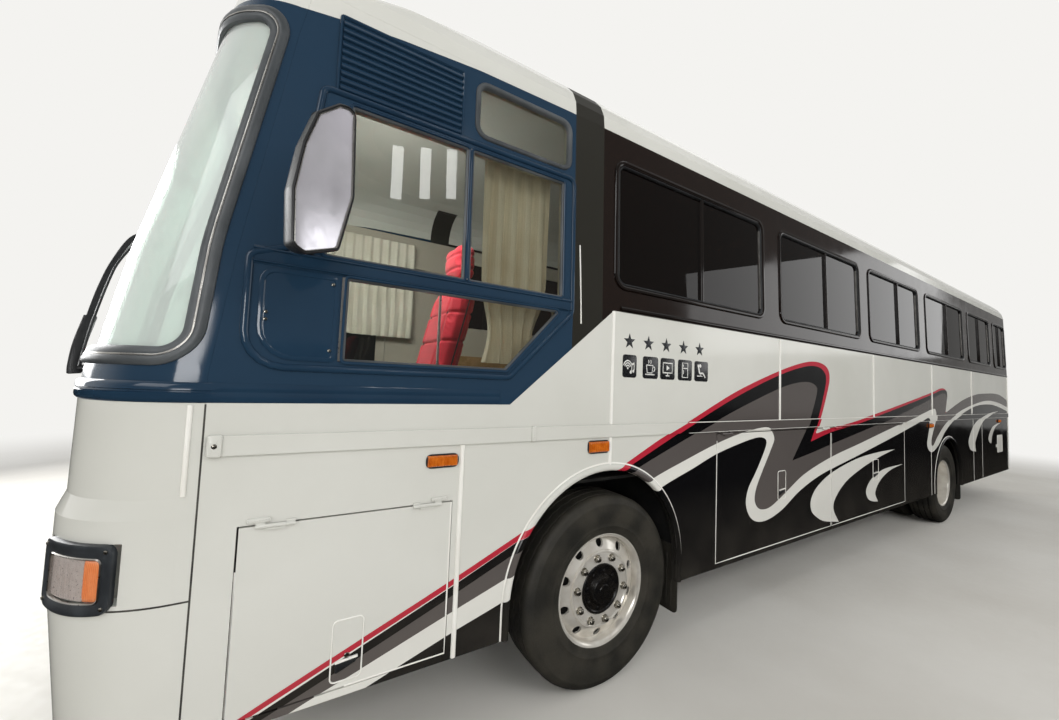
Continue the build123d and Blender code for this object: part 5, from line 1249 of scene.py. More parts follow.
surround, rings, reflectors, covers, ambers, lampScrews = [], [], [], [], [], []
outer = cornerLoop(*headlamp["outer"], 0.030, headlamp["sag"])
inner = cornerLoop(*headlamp["lens"], 0.014, headlamp["sag"] * 0.5)
first, last, low, high = headlamp["lens"]
for sign in (1, -1):
    flip = lambda part: (part[0] * (sign, 1, 1), part[1])
    share = [(0.0, -0.004), (0.0, 0.009), (0.05, 0.0135), (0.14, 0.0150), (0.30, 0.0140), (0.80, 0.0105), (0.93, 0.008),
             (1.0, 0.003)]
    # the surround runs from the outer loop to the lens loop by shares of the way, at each share's height
    way = np.linspace(0, 1, len(outer), endpoint=False)
    innerWay = np.linspace(0, 1, len(inner), endpoint=False)
    matched = np.column_stack([np.interp(way, np.append(innerWay, 1), np.append(inner[:, i], inner[0, i]))
                               for i in (0, 1)])
    rows = np.stack([np.column_stack([outer * (1 - t) + matched * t, np.full(len(outer), w)]) for t, w in share])
    surround.append(onFront(flip((rows.reshape(-1, 3), gridQuads(len(share), len(outer), wrapCols=True).tolist()))))
    rings.append(onFront(flip(stackLoops(inner, [(-0.005, 0.003), (-0.005, 0.010), (-0.002, 0.0125), (0.001, 0.0105),
                                                 (0.001, 0.003)], True))))
    reflectors.append(onFront(flip(lensPatch(first, headlamp["amberFrom"], low, high, -0.001, 0.0007, 5))))
    covers.append(onFront(flip(lensPatch(first, headlamp["amberFrom"], low, high, 0.008, 0.0006, 15))))
    ambers.append(onFront(flip(lensPatch(headlamp["amberFrom"] + 0.3, last, low, high, 0.007, 0.0005, 9))))
    for degrees, z in ((28.0, 1.068), (64.2, 1.068), (28.0, 0.905), (64.2, 0.905)):
        head = disc(float(cornerRun(degrees, 1.0)), z, 0.0055, 12)
        screw = stackLoops(head, [(0, 0.012), (0, 0.0165), (0.0015, 0.0180), (0.0045, 0.0184)])
        lampScrews.append(onFront(flip(screw)))
addPiece("headlampSurrounds", surround, "lampSurround", 40, ["headlamps"])
addPiece("headlampRings", rings, "channelAluminium", 40, ["headlamps"])
addPiece("headlampReflectors", reflectors, "lampReflector", replaces=["headlamps"])
addPiece("headlampCovers", covers, "lensGlass", replaces=["headlamps"])
addPiece("headlampAmbers", ambers, "amberChamber", replaces=["headlamps"])
addPiece("headlampScrews", lampScrews, "platedSteel", replaces=["headlamps"])
print("lamps and handles fitted")

# ---- the rear end: lamp clusters, a slatted grille, latches and a blank plate on the engine lid

rearEnd = {"x": -5.881, "lamp": (0.920, 1.020, 0.850, 1.250), "steps": (0.0, 0.30, 0.72, 1.0), "slats": 8,
           "slatHalf": 0.56, "grille": (1.000, 1.210), "plate": (0.255, 0.760, 0.885), "latches": (0.60, 0.715)}


def onRear(part):
    # (across, z, height) to the flat rear wall
    p, faces = np.asarray(part[0], float), part[1]
    return np.column_stack([rearEnd["x"] - p[:, 2], p[:, 0], p[:, 1]]), faces


def rearForm(loop, levels, ringOnly=False):
    return onRear(stackLoops(loop, levels, ringOnly))


def tailLens(inner, outer, low, high):
    # a pillow: 0.0075 + 0.0065 (1 - u^8)(1 - v^8), with flat flutes across it
    u, v = np.meshgrid(np.linspace(-1, 1, 25), np.linspace(-1, 1, 49), indexing="ij")
    fall = (1 - u ** 8) * (1 - v ** 8)
    w = 0.0075 + 0.0065 * fall + 0.0006 * np.cos(v * math.pi * 9) * fall
    return np.stack([(inner + outer) / 2 + u * (outer - inner) / 2, (low + high) / 2 + v * (high - low) / 2, w],
                    -1).reshape(-1, 3), gridQuads(25, 49).tolist()


def rectLoop(half, low, high, radius, centre=0.0):
    return roundedLoop([(centre - half, low), (centre + half, low), (centre + half, high), (centre - half, high)],
                       radius, 5)


bezels, reds, ambersRear, pales = [], [], [], []
inner, outer, low, high = rearEnd["lamp"]
for side in (1, -1):
    loop = rectLoop((outer - inner) / 2 + 0.012, low - 0.012, high + 0.012, 0.02, side * (inner + outer) / 2)
    bezels.append(rearForm(loop, [(-0.004, -0.001), (-0.004, 0.009), (0.001, 0.015), (0.009, 0.014), (0.013, 0.007)],
                  True))
    marks = [low + (high - low) * share for share in rearEnd["steps"]]
    for store, foot, top in zip((pales, reds, ambersRear), marks[:-1], marks[1:]):
        a, b = sorted((side * inner, side * outer))
        store.append(onRear(tailLens(a + 0.002, b - 0.002, foot + 0.002, top - 0.002)))
addPiece("tailLampBezels", bezels, "lampSurround", 40)
addPiece("tailLensesRed", reds, "redLens", 40, closed=False)
addPiece("tailLensesAmber", ambersRear, "amberLens", 40, closed=False)
addPiece("tailLensesPale", pales, "lampReflector", 40, closed=False)
foot, top = rearEnd["grille"]
pitch = (top - foot) / rearEnd["slats"]
slat = np.array([(-0.010, 0.000), (-0.008, 0.004), (0.006, 0.013), (0.009, 0.012), (0.006, 0.003), (0.006, 0.000)])
slatHalf, slats = rearEnd["slatHalf"], []
for i in range(rearEnd["slats"]):
    height = foot + pitch * (i + 0.5)
    slats.append(onRear(strip(run([(-slatHalf, height, 0), (slatHalf, height, 0)], 0.3), slat)))
grilleRim = rectLoop(slatHalf + 0.02, foot - 0.014, top + 0.014, 0.018)
slats.append(rearForm(grilleRim, [(-0.006, -0.0005), (-0.006, 0.010), (0.0, 0.014), (0.010, 0.012), (0.012, -0.0005)],
                      True))
addPiece("engineGrille", slats, "mouldedAbs", body="engine_lid")
half, foot, top = rearEnd["plate"]
plateSteps = [(0, 0.002), (0, 0.0045), (0.001, 0.0055), (0.006, 0.0055), (0.008, 0.0048)]
addPiece("blankPlate", [rearForm(rectLoop(half, foot, top, 0.010), plateSteps)], "whiteEnamelAndPaintedHighlights", body="engine_lid")
holder = rectLoop(half + 0.012, foot - 0.012, top + 0.012, 0.016)
addPiece("plateHolder", [rearForm(holder, [(0, -0.0005), (0, 0.005), (0.003, 0.008), (0.011, 0.008), (0.013, 0.002)])],
         "mouldedAbs", body="engine_lid")
across, height = rearEnd["latches"]
latches = []
for side in (1, -1):
    dish = rectLoop(0.045, height - 0.022, height + 0.022, 0.008, side * across)
    latches.append(rearForm(dish, [(0, -0.0005), (0, 0.004), (0.002, 0.006), (0.005, 0.006), (0.006, 0.003)]))
    bolt = rectLoop(0.030, height - 0.008, height + 0.008, 0.004, side * across)
    latches.append(rearForm(bolt, [(0, 0.001), (0, 0.008), (0.0015, 0.011), (0.003, 0.0115)]))
addPiece("lidLatches", latches, "platedSteel", body="engine_lid")
# the entry door's handle, as on the hatches
rim, plate, locks, pulls = handleParts((4.520, 4.410, 1.070, 1.280), -1)
addPiece("doorHandleFrame", rim, "whiteEnamelAndPaintedHighlights", body="door")
addPiece("doorHandlePlate", plate, "coachPaint", body="door")
addPiece("doorHandleLock", locks, "platedSteel", body="door")
addPiece("doorHandlePull", pulls, "mouldedAbs", body="door")
# a white filler flap behind the rear wheel, with its lock beside it
flap = boxLoop(-4.845, -5.175, 0.770, 1.050, 0.016, 5)
flapLevels = [(-0.001, -0.001), (-0.001, 0.003), (0.003, 0.005), (0.009, 0.005), (0.011, 0.0035), (0.013, 0.0035)]
addPiece("fillerFlap", [wallForm(flap, flapLevels, 1)], "whiteEnamelAndPaintedHighlights")
lock = boxLoop(-4.770, -4.812, 0.860, 0.905, 0.010, 4)
addPiece("fillerLock", [wallForm(lock, [(0, -0.001), (0, 0.004), (0.003, 0.006), (0.008, 0.006)], 1)], "whiteEnamelAndPaintedHighlights")

# ---- mirrors: a tapered black shell with a rolled rim, silvered glass, two tube arms with clamps

mirrorSpec = {
    "left": {"inner": (5.085, 1.475), "outer": (5.255, 1.575), "sign": 1, "foot": (5.175, 1.262)},
    "right": {"inner": (5.240, 1.432), "outer": (5.330, 1.602), "sign": -1, "foot": (5.290, 1.255)}}
# (across 0 inner - 1 outer, height): the slanted head of the glass as it is seen from outside
mirrorOutline = [(0.06, 2.012), (0.64, 1.966), (0.85, 1.982), (0.90, 2.150), (0.78, 2.300), (0.59, 2.415),
                 (0.23, 2.485), (-0.10, 2.508), (-0.165, 2.205)]


def mirrorParts(look):
    # the outline lies in an upright plane through inner and outer; levels step along the plane's own normal
    inner, outer = np.array(look["inner"]), np.array(look["outer"])
    across = outer - inner
    width = np.linalg.norm(across)
    across = across / width
    normal = np.array([-across[1], across[0]])
    loop = roundedLoop([(u * width, z) for u, z in mirrorOutline], 0.028, 6)

    def place(part):
        points, faces = part
        xy = inner + points[:, :1] * across + points[:, 2:] * normal
        return np.stack([xy[:, 0], look["sign"] * xy[:, 1], points[:, 1]], 1), faces

    shell = place(stackLoops(loop, [(0.014, 0.012), (0.010, 0.012), (0.009, 0.018), (0.004, 0.021), (0.000, 0.017),
                                    (0.000, 0.004), (0.004, -0.018), (0.010, -0.036), (0.018, -0.047),
                                    (0.026, -0.052)]))
    glass = place(stackLoops(loop, [(0.012, 0.0125), (0.012, 0.0145), (0.016, 0.0150)]))
    edge = place(stackLoops(loop, [(0.0085, 0.0175), (0.0085, 0.0195), (0.0095, 0.0205), (0.0115, 0.019),
                                   (0.0120, 0.0145)], True))
    middle = inner + across * width * 0.4 - normal * 0.040
    arms, clamps = [], []
    footX, footY = look["foot"]
    for z, footZ in ((2.414, 2.4145), (2.064, 2.0645)):
        path = spline([(middle[0], middle[1] + 0.01, z), (middle[0] + 0.004, middle[1] - 0.08, z),
                       (footX, footY + 0.09, footZ), (footX, footY - 0.012, footZ)], 10)
        points, faces = carried(path, wire(0.0115, 14), (0.3, 0, 1))
        arms.append((points * (1, look["sign"], 1), faces))
        clamp = roundedLoop([(footX + 0.034, footZ - 0.024), (footX - 0.034, footZ - 0.024),
                             (footX - 0.034, footZ + 0.024), (footX + 0.034, footZ + 0.024)], 0.014, 5)
        levels = [(0, -0.012), (0, 0.006), (0.004, 0.011), (0.014, 0.012), (0.019, 0.030), (0.020, 0.034)]
        clamps.append(wallForm(clamp, levels, look["sign"]))
    for z in (2.414, 2.064):
        path = np.array([(middle[0], middle[1] - 0.03, z), (middle[0], middle[1], z),
                         (middle[0], middle[1] + 0.032, z)])
        points, faces = carried(path, wire(0.019, 16), (0, 0, 1))
        clamps.append((points * (1, look["sign"], 1), faces))
    return shell, glass, edge, arms, clamps


shells, glasses, edges, arms, clamps = [], [], [], [], []
for look in mirrorSpec.values():
    shell, glass, edge, arm, clamp = mirrorParts(look)
    shells.append(shell)
    glasses.append(glass)
    edges.append(edge)
    arms += arm
    clamps += clamp
addPiece("mirrorShells", shells, "mouldedAbs", 38, ["mirrors"])
addPiece("mirrorGlasses", glasses, "mirrorSilver", 38, ["mirrors"])
addPiece("mirrorEdges", edges, "channelAluminium", 38, ["mirrors"])
addPiece("mirrorArms", arms, "mouldedAbs", 38, ["mirrors"])
addPiece("mirrorClamps", clamps, "mouldedAbs", replaces=["mirrors"])

# ---- wipers: a pivot boss, a sprung arm with a parallel link, a blade along the glass

wipers = {"pivots": (-0.52, 0.62), "low": 1.600, "bladeTop": 2.46, "lean": -0.13}


def wiperParts(s, look):
    # points are (s, z, height over the skin)
    top, lean, low = look["bladeTop"], look["lean"], look["low"]
    lower = spline([(s, low - 0.02, 0.070), (s + lean * 0.1, low + 0.09, 0.082), (s + lean * 0.4, low + 0.21, 0.086)])
    arm = spline([(s + lean * 0.34, low + 0.18, 0.086), (s + lean * 0.7, low + 0.36, 0.090),
                  (s + lean, low + 0.56, 0.074), (s + lean * 1.06, low + 0.61, 0.030)])
    link = spline([(s + 0.060, low + 0.01, 0.050), (s + 0.060 + lean * 0.3, low + 0.18, 0.062),
                   (s + 0.045 + lean * 0.75, low + 0.42, 0.066), (s + lean + 0.02, low + 0.56, 0.050)])
    blade = spline([(s + lean * 0.90, low + 0.20, 0.012), (s + lean, low + 0.58, 0.017), (s + lean * 1.1, top, 0.012)],
                   12)
    parts = [onFront(carried(lower, roundedLoop(flatBar(0.034, -0.020, 0.016), 0.010, 3), (0, 0, 1))),
             onFront(carried(arm, flatBar(0.020, -0.011, 0.010), (0, 0, 1))),
             onFront(carried(link, wire(0.0045, 8), (0, 0, 1))),
             onFront(carried(blade, flatBar(0.016, 0.002, 0.012), (0, 0, 1))),
             onFront(carried(blade, flatBar(0.006, -0.0115, 0.004), (0, 0, 1)))]
    for x, z, rise in ((s, low, 0.062), (s + 0.060, low + 0.01, 0.034)):
        steps = [(0, -0.004), (0, 0.012), (0.004, 0.020), (0.008, 0.024), (0.009, rise), (0.014, rise + 0.004)]
        parts.append(onFront(stackLoops(disc(x, z, 0.024, 20), steps)))
    return parts


addPiece("wipers", [part for s in wipers["pivots"] for part in wiperParts(s, wipers)], "mouldedAbs", 35)
print("mirrors and wipers hung")

# ---- five stars and five plain comfort signs, cut from vinyl

starPlaces = (3.545, 3.390, 3.235, 3.075, 2.915)
signFoot, signHeight = 1.663, 0.129
signPlaces = ((3.595, 3.485), (3.435, 3.305), (3.285, 3.155), (3.125, 2.990), (2.965, 2.825))


def decal(loop, w=0.0006):
    loop = np.asarray(loop, float)
    return stackLoops(loop, [(0, -0.0004), (0, w), (0.0002, w + 0.0001)])


def bandOf(points, width):
    # a flat ribbon either side of a line, as one closed loop
    points = np.asarray(points, float)
    tangent = np.gradient(points, axis=0)
    tangent = tangent / np.linalg.norm(tangent, axis=1)[:, None]
    square = np.column_stack([-tangent[:, 1], tangent[:, 0]]) * width / 2
    return np.vstack([points + square, (points - square)[::-1]])


def arcLine(x, z, r, a0, a1, steps=12):
    return np.array([(x + r * math.cos(a), z + r * math.sin(a)) for a in np.radians(np.linspace(a0, a1, steps))])


stars = []
for x in starPlaces:
    angle = math.pi / 2 + np.arange(10) * math.pi / 5
    reach = np.where(np.arange(10) % 2 == 0, 0.047, 0.019)
    star = np.column_stack([x - np.cos(angle) * reach, 1.868 + np.sin(angle) * reach])
    stars.append(onWall(decal(roundedLoop(star, 0.0005, 2)), 1))
addPiece("stars", stars, "starVinyl")

# the figures are drawn in unit squares: across 0 (front) to 1 (rear), up 0 to 1
drawn = [
    # sound waves over a dot, and two joined notes
    [bandOf(arcLine(0.34, 0.40, radius, 20, 160), 0.055) for radius in (0.14, 0.25, 0.36)] +
    [disc(0.34, 0.40, 0.055), disc(0.60, 0.22, 0.085), disc(0.80, 0.27, 0.075),
     bandOf([(0.67, 0.22), (0.67, 0.60)], 0.045), bandOf([(0.86, 0.27), (0.86, 0.66)], 0.045),
     bandOf([(0.65, 0.58), (0.88, 0.65)], 0.09)],
    # a cup with its handle on a saucer, steaming
    [bandOf([(0.20, 0.62), (0.26, 0.24), (0.62, 0.24), (0.68, 0.62), (0.20, 0.62)], 0.05),
     bandOf(arcLine(0.70, 0.44, 0.12, -80, 80), 0.05), bandOf([(0.12, 0.16), (0.80, 0.16)], 0.05),
     bandOf([(0.34, 0.70), (0.38, 0.78), (0.34, 0.88)], 0.04),
     bandOf([(0.50, 0.70), (0.54, 0.78), (0.50, 0.88)], 0.04)],
    # a screen on its foot, with a play mark
    [bandOf([(0.14, 0.30), (0.86, 0.30), (0.86, 0.80), (0.14, 0.80), (0.14, 0.30)], 0.06),
     bandOf([(0.36, 0.15), (0.64, 0.15)], 0.06), bandOf([(0.50, 0.15), (0.50, 0.30)], 0.06),
     [(0.42, 0.42), (0.64, 0.55), (0.42, 0.68)]],
    # a refrigerator with two doors and their pulls
    [bandOf([(0.28, 0.12), (0.72, 0.12), (0.72, 0.88), (0.28, 0.88), (0.28, 0.12)], 0.05),
     bandOf([(0.28, 0.60), (0.72, 0.60)], 0.045), bandOf([(0.37, 0.68), (0.37, 0.80)], 0.045),
     bandOf([(0.37, 0.30), (0.37, 0.50)], 0.045)],
    # a seat that leans back
    [bandOf([(0.22, 0.86), (0.36, 0.40), (0.66, 0.40)], 0.10), bandOf([(0.66, 0.40), (0.84, 0.16)], 0.08),
     disc(0.40, 0.80, 0.09), bandOf([(0.16, 0.24), (0.60, 0.24)], 0.05), bandOf([(0.46, 0.38), (0.46, 0.22)], 0.05)],
]
squares, figures = [], []
for shapes, (front, rear) in zip(drawn, signPlaces):
    squares.append(onWall(decal(boxLoop(front, rear, signFoot, signFoot + signHeight, 0.016, 5)), 1))
    for shape in shapes:
        across, up = np.asarray(shape, float).T
        placed = np.column_stack([front + (rear - front) * (0.06 + 0.88 * across),
                                  signFoot + signHeight * (0.04 + 0.92 * up)])
        figures.append(onWall(decal(placed, 0.0014), 1))
addPiece("signSquares", squares, "signVinyl")
addPiece("signFigures", figures, "whiteVinyl")
print("stars and signs cut")

# ---- driver's seat: cushion and back inflated as cloth, seams pressed in afterwards

seat = {"y": 0.660, "seam": 0.135, "piping": 0.231, "cushion": ((4.418, 4.876), (1.486, 1.606)),
        "back": ((4.288, 4.408), (1.506, 2.176)), "half": 0.234, "lean": 0.24, "rest": ((4.288, 4.408), (2.186, 2.396)),
        "restHalf": 0.134, "voxel": 0.007, "pressure": 4.0, "cap": 0.018}


def padMesh(spans, middleY, half):
    # a rounded box: a superellipsoid |x/a|^5 + |y/b|^5 + |z/c|^5 = 1 sampled over a cube's six grids
    (x0, x1), (z0, z1) = spans
    t = np.linspace(-1, 1, 25)
    u, v = np.meshgrid(t, t, indexing="ij")
    one = np.ones_like(u)
    sidesOfCube = [(one, u, v), (-one, v, u), (v, one, u), (u, -one, v), (u, v, one), (v, u, -one)]
    points, faces, count = [], [], 0
    for cube in sidesOfCube:
        p = np.stack(cube, -1).reshape(-1, 3)
        p = p / (np.sum(np.abs(p) ** 5, 1) ** 0.2)[:, None]
        points.append(p)
        faces += (gridQuads(25, 25) + count).tolist()
        count += len(p)
    p = np.vstack(points)
    size = np.array([(x1 - x0) / 2, half, (z1 - z0) / 2])
    return p * size + np.array([(x0 + x1) / 2, middleY, (z0 + z1) / 2]), faces


def leaned(part, spans, slope):
    # the back's front leans: x moves forward by slope for every metre below the top
    points, faces = part
    return points + np.outer(slope * (spans[1][1] - points[:, 2]), (1, 0, 0)), faces


def inflate(piece, look):
    # remeshed, blown up as cloth with the swelling capped, then shaded smooth
    bpy.context.view_layer.objects.active = piece
    remesh = piece.modifiers.new("voxels", "REMESH")
    remesh.mode, remesh.voxel_size = "VOXEL", look["voxel"]
    applyModifiers(piece)
    start = meshPoints(piece)
    cloth = piece.modifiers.new("cloth", "CLOTH")
    cloth.settings.use_pressure = True
    cloth.settings.uniform_pressure_force = look["pressure"]
    cloth.settings.effector_weights.gravity = 0.0
    cloth.settings.quality = 4
    cloth.collision_settings.use_collision = False
    scene = bpy.context.scene
    for number in range(1, 21):
        scene.frame_set(number)
    applyModifiers(piece)
    scene.frame_set(1)
    moved = meshPoints(piece) - start
    length = np.maximum(np.linalg.norm(moved, axis=1), 1e-9)[:, None]
    setPoints(piece, start + moved * np.minimum(1, look["cap"] / length))
    piece.data.shade_smooth()


def applyModifiers(piece):
    graph = bpy.context.evaluated_depsgraph_get()
    graph.update()
    made = bpy.data.meshes.new_from_object(piece.evaluated_get(graph), depsgraph=graph)
    old = piece.data
    piece.modifiers.clear()
    piece.data = made
    made.name = old.name + "Done"
    for slot in old.materials:
        if not made.materials:
            made.materials.append(slot)


def meshPoints(piece):
    flat = np.empty(len(piece.data.vertices) * 3)
    piece.data.vertices.foreach_get("co", flat)
    return flat.reshape(-1, 3).astype(float)


def setPoints(piece, points):
    piece.data.vertices.foreach_set("co", np.asarray(points, float).ravel())
    piece.data.update()


def pressSeams(piece, lines, depth, width):
    # each seam is a plane (axis, place); points near it move inwards along their normal by a bell of that depth
    points = meshPoints(piece)
    normals = np.empty(len(points) * 3)
    piece.data.vertices.foreach_get("normal", normals)
    normals = normals.reshape(-1, 3)
    total = np.zeros(len(points))
    for axis, place in lines:
        total += np.exp(-((points[:, axis] - place) / width) ** 2)
    setPoints(piece, points - normals * (depth * np.minimum(total, 1))[:, None])


def wovenCloth(name, look):
    # plain-woven upholstery: two crossing sets of threads, drawn coarser than the real 0.8 mm so that they show
    material, tree = newMaterial(name)
    place = addNode(tree, "TexCoord").outputs["Object"]
    warp = addNode(tree, "TexWave", {"wave_type": "BANDS", "bands_direction": look["across"]}, Vector=place,
                   Scale=1 / (look["threadMm"] / 1000) / 6.3, Distortion=0.6, Detail=2)
    weft = addNode(tree, "TexWave", {"wave_type": "BANDS", "bands_direction": "Z"}, Vector=place,
                   Scale=1 / (look["threadMm"] / 1000) / 6.3, Distortion=0.6, Detail=2)
    weave = addNode(tree, "Math", "MULTIPLY", warp, weft)
    wear = addNode(tree, "TexNoise", Vector=place, Scale=look["wear"], Detail=6, Roughness=0.6)
    tone = addNode(tree, "MapRange", "LINEAR", wear, 0.35, 0.7, 0.0, 1.0)
    plain = addNode(tree, "Mix", "RGBA", tone, linearColour(look["colour"]), linearColour(look["second"]))
    shade = addNode(tree, "MapRange", "LINEAR", weave, 0.0, 1.0, 0.0, 0.35)
    colour = addNode(tree, "Mix", "RGBA", shade, plain.outputs[2], linearColour(look["deep"]))
    bump = addNode(tree, "Bump", Strength=0.5, Distance=look["threadMm"] / 4000, Height=weave)
    surface = addNode(tree, "BsdfPrincipled", Base_Color=colour.outputs[2], Roughness=look["roughness"],
                      Sheen_Weight=look["sheen"], Sheen_Roughness=0.5, Normal=bump)
    addNode(tree, "OutputMaterial", Surface=surface)
    return material


clothLooks = {
    # brushed nylon seat cloth: strong red, soft at grazing angles
    "redSeatCloth": {"colour": "d8283c", "second": "c02033", "deep": "8c1422", "threadMm": 5.0, "wear": 5.0,
                     "across": "X", "roughness": 0.8, "sheen": 0.25},
    # slub-woven curtain cotton, khaki from age
    "curtainCotton": {"colour": "f0e3cf", "second": "e0d0b9", "deep": "bcaa92", "threadMm": 5.0, "wear": 4.0,
                      "across": "X", "roughness": 0.88, "sheen": 0.15},
    # the same cotton, cream where the sun hasn't reached
    "creamCotton": {"colour": "eae5d8", "second": "dbd5c5", "deep": "b9b2a0", "threadMm": 5.0, "wear": 4.0,
                    "across": "X", "roughness": 0.88, "sheen": 0.15},
}
for name, look in clothLooks.items():
    finishes[name] = wovenCloth(name, look)

# each pad's span, half width, pressed seams as (axis, place), and how full it is
longSeams = [(1, seat["y"] - seat["seam"]), (1, seat["y"] + seat["seam"])]
pads = {
    "seatCushion": (seat["cushion"], seat["half"], longSeams + [(0, 4.50), (0, 4.62), (0, 4.74)], 0.75),
    "seatBack": (seat["back"], seat["half"], longSeams + [(2, 1.66), (2, 1.82), (2, 1.98)], 0.75),
    "seatHeadrest": (seat["rest"], seat["restHalf"], [(2, 2.25), (2, 2.33)], 0.8),
}
margin = 0.006
for name, (spans, half, seams, fill) in pads.items():
    shrunk = tuple((low + margin, high - margin) for low, high in spans)
    pad = padMesh(shrunk, seat["y"], half - margin)
    if name == "seatBack":
        pad = leaned(pad, shrunk, seat["lean"])
    piece = addPiece(name, [pad], "redSeatCloth", 60, ["seats"])
    inflate(piece, seat)
    pressSeams(piece, seams, 0.012, 0.007)
    smooth = piece.modifiers.new("smooth", "SUBSURF")
    smooth.levels = smooth.render_levels = 1
    applyModifiers(piece)
    piece.data.shade_smooth()
seamLines = []
for y in (seat["y"] - seat["seam"], seat["y"] + seat["seam"]):
    seamLines.append(carried(spline([(4.541, y, 1.62), (4.478, y, 1.895), (4.405, y, 2.17)], 6), wire(0.0035, 8),
                             (1, 0, 0)))
for y in (seat["y"] - seat["piping"], seat["y"] + seat["piping"]):
    seamLines.append(carried(spline([(4.490, y, 1.56), (4.415, y, 1.86), (4.345, y, 2.15)], 6), wire(0.004, 8),
                     (0, 1 if y > seat["y"] else -1, 0)))
addPiece("seatPiping", seamLines, "mouldedAbs", 60, ["seats"])
pedestal = boxLoop(4.800, 4.492, 1.152, 1.478, 0.03)
stalk = []
for sign in (1, -1):
    points, faces = stackLoops(pedestal, [(0.02, 0), (0.0, 0.01), (0.0, 0.02), (0.02, 0.03)])
    stalk.append((np.stack([points[:, 0], seat["y"] + sign * (0.118 + points[:, 2]), points[:, 1]], 1), faces))
runners = [carried([(4.44, seat["y"] + s * 0.13, 1.474), (4.86, seat["y"] + s * 0.13, 1.474)],
                   flatBar(0.04, -0.012, 0.008), (0, 0, 1)) for s in (1, -1)]
frameTube = boxLoop(seat["y"] + 0.11, seat["y"] - 0.11, 1.160, 1.470, 0.02)
points, faces = stackLoops(frameTube, [(0.0, 4.56), (0.01, 4.58), (0.02, 4.66), (0.01, 4.74), (0.0, 4.76)])
stalk.append((np.stack([points[:, 2], points[:, 0], points[:, 1]], 1), faces))
addPiece("seatPedestal", stalk + runners, "chassisBlack", 32, ["seats"])
posts = [carried([(4.348, seat["y"] + s * 0.06, 2.150), (4.348, seat["y"] + s * 0.06, 2.205)], wire(0.008, 12),
                 (1, 0, 0)) for s in (1, -1)]
addPiece("seatHeadrestPosts", posts, "platedSteel", 40, ["seats"])
print("seat upholstered")

# ---- curtains: a sheet gathered on its rail, falling in folds, drawn in where it is tied

curtainLooks = {
    "Left": {"front": 4.440, "rear": 4.040, "y": 1.1475, "top": 2.7040, "foot": 1.700, "folds": 5,
             "deep": 0.020, "tie": 0.34, "tieAt": 0.86, "sign": 1, "finish": "curtainCotton"},
    "Right": {"front": 4.930, "rear": 4.110, "y": 1.105, "top": 2.930, "foot": 2.000, "folds": 10,
              "deep": 0.013, "tie": 0.0, "tieAt": 0.9, "sign": -1, "finish": "creamCotton"},
}


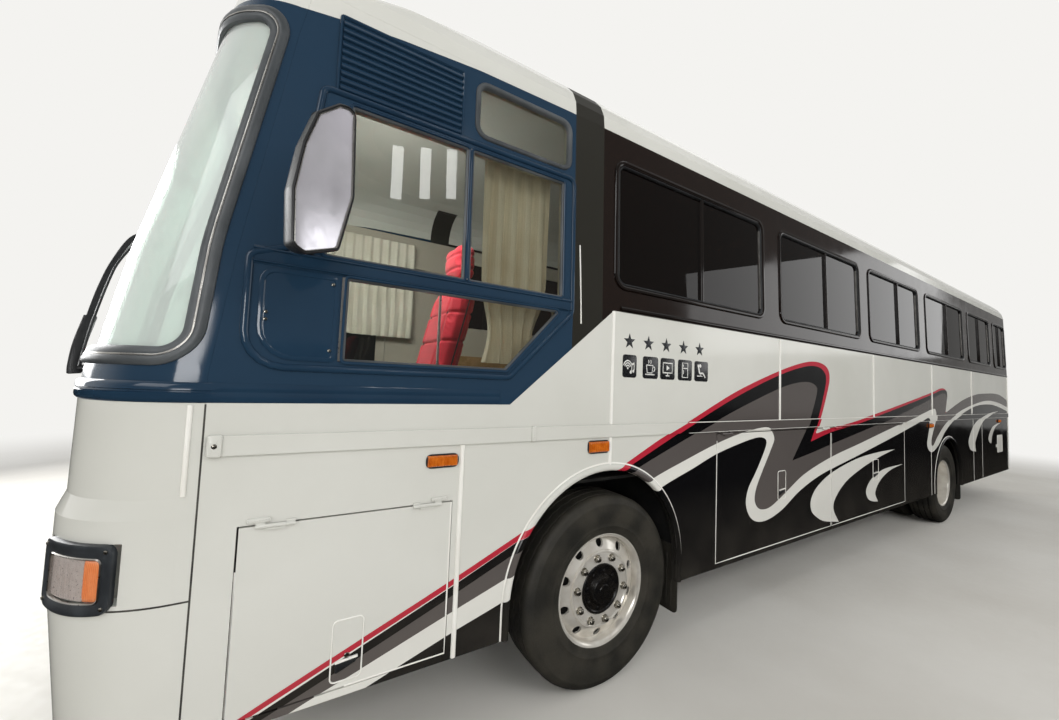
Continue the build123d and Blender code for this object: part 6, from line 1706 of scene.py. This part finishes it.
def curtainSheet(look):
    # sideways place u, drop v: y swings by a sine of the folds, drawn towards the tie by a bell about tieAt
    u, v = np.meshgrid(np.linspace(0, 1, 241), np.linspace(0, 1, 81), indexing="ij")
    pull = look["tie"] * np.exp(-((v - look["tieAt"]) / 0.16) ** 2)
    middle = 0.42
    across = u + (middle - u) * pull
    slide = 0.010 * np.sin(v * 9 + u * 5) * v
    x = look["front"] + (look["rear"] - look["front"]) * np.clip(across, 0, 1) * 0.97 - 0.006 + slide * 0.5
    phase = u * look["folds"] * 2 * math.pi + 0.7 * np.sin(v * 2.2 + u * 3)
    depth = look["deep"] * (0.55 + 0.45 * np.sin(v * math.pi * 0.6)) * (1 - 0.3 * pull)
    y = look["sign"] * (look["y"] + depth * np.sin(phase) + 0.25 * depth * np.sin(2 * phase + v * 4))
    z = look["top"] + (look["foot"] - look["top"]) * v
    points = np.stack([x, y, z], -1)
    lengthAcross = np.linalg.norm(np.diff(points, axis=0), axis=2).sum(0).mean()
    drop = np.linalg.norm(np.diff(points, axis=1), axis=2).sum(1).mean()
    # area by the sum of each quad's two sides crossed
    crossed = np.cross(np.diff(points, axis=0)[:, :-1], np.diff(points, axis=1)[:-1])
    return points.reshape(-1, 3), gridQuads(241, 81).tolist(), lengthAcross, drop, np.linalg.norm(crossed, axis=2).sum()


def hangCurtain(name, look, finish, replaces=()):
    points, faces, across, drop, area = curtainSheet(look)
    piece = addPiece(name, [(points, faces)], finish, 60, replaces, closed=False)
    print(name, round(across, 3), round(drop, 3), round(area, 3))


for word, look in curtainLooks.items():
    hangCurtain(f"curtain{word}", look, look["finish"], ["curtains"])
# pale curtains drawn behind the rear pane of every saloon window but the first, on both sides
for sign, word, low in sides:
    for index, ((front, rear), divider) in enumerate(zip(sideWindows["spans"], sideWindows["dividers"])):
        if index > 0:
            hangCurtain(f"saloonCurtain{index}{word}", {
                "front": divider + 0.02, "rear": rear - 0.02, "y": 1.1885, "top": 2.900, "foot": 2.165, "folds": 8,
                "deep": 0.007, "tie": 0.0, "tieAt": 0.9, "sign": sign}, "creamCotton")
print("curtains hung")

# ---- materials on the CAD nodes that stay

nodeFinishes = {
    "tintedGlass": ("side_glass_left", "side_glass_right"), "screenGlass": ("windscreen",),
    "doorGlass": ("entry_door_glass",), "glazingRubber": ("screen_pillar",), "redLens": ("tail_lamps",),
    "underseal": ("arch_liners", "floor_deck"), "dashPolypropylene": ("dashboard",),
    "chassisBlack": ("chassis_frame", "front_axle", "rear_axle", "luggage_bay"),
    "castIron": ("engine_block", "knuckle_left", "knuckle_right"), "mouldedAbs": ("steering_wheel",),
    "beechLaminate": ("cabin_units",),
}
for finish, names in nodeFinishes.items():
    for name in names:
        mesh = cadNodes[name].data
        for index in range(len(mesh.materials)):
            mesh.materials[index] = finishes[finish]
        if not mesh.materials:
            mesh.materials.append(finishes[finish])
paintedNodes = [
    "skirt_left", "skirt_right", "sidewall_left", "sidewall_right", "roof_shell", "roof_hatch", "front_cap",
    "front_mask", "front_panel", "front_bumper", "rear_panel", "engine_lid", "rear_wall", "rear_bumper",
    "hatch_left_front", "hatch_left_middle", "hatch_left_rear", "hatch_right_middle", "hatch_right_rear",
    "entry_door", "rub_rails"]
for name in paintedNodes:
    materials = cadNodes[name].data.materials
    materials.clear()
    materials.append(coachPaint)
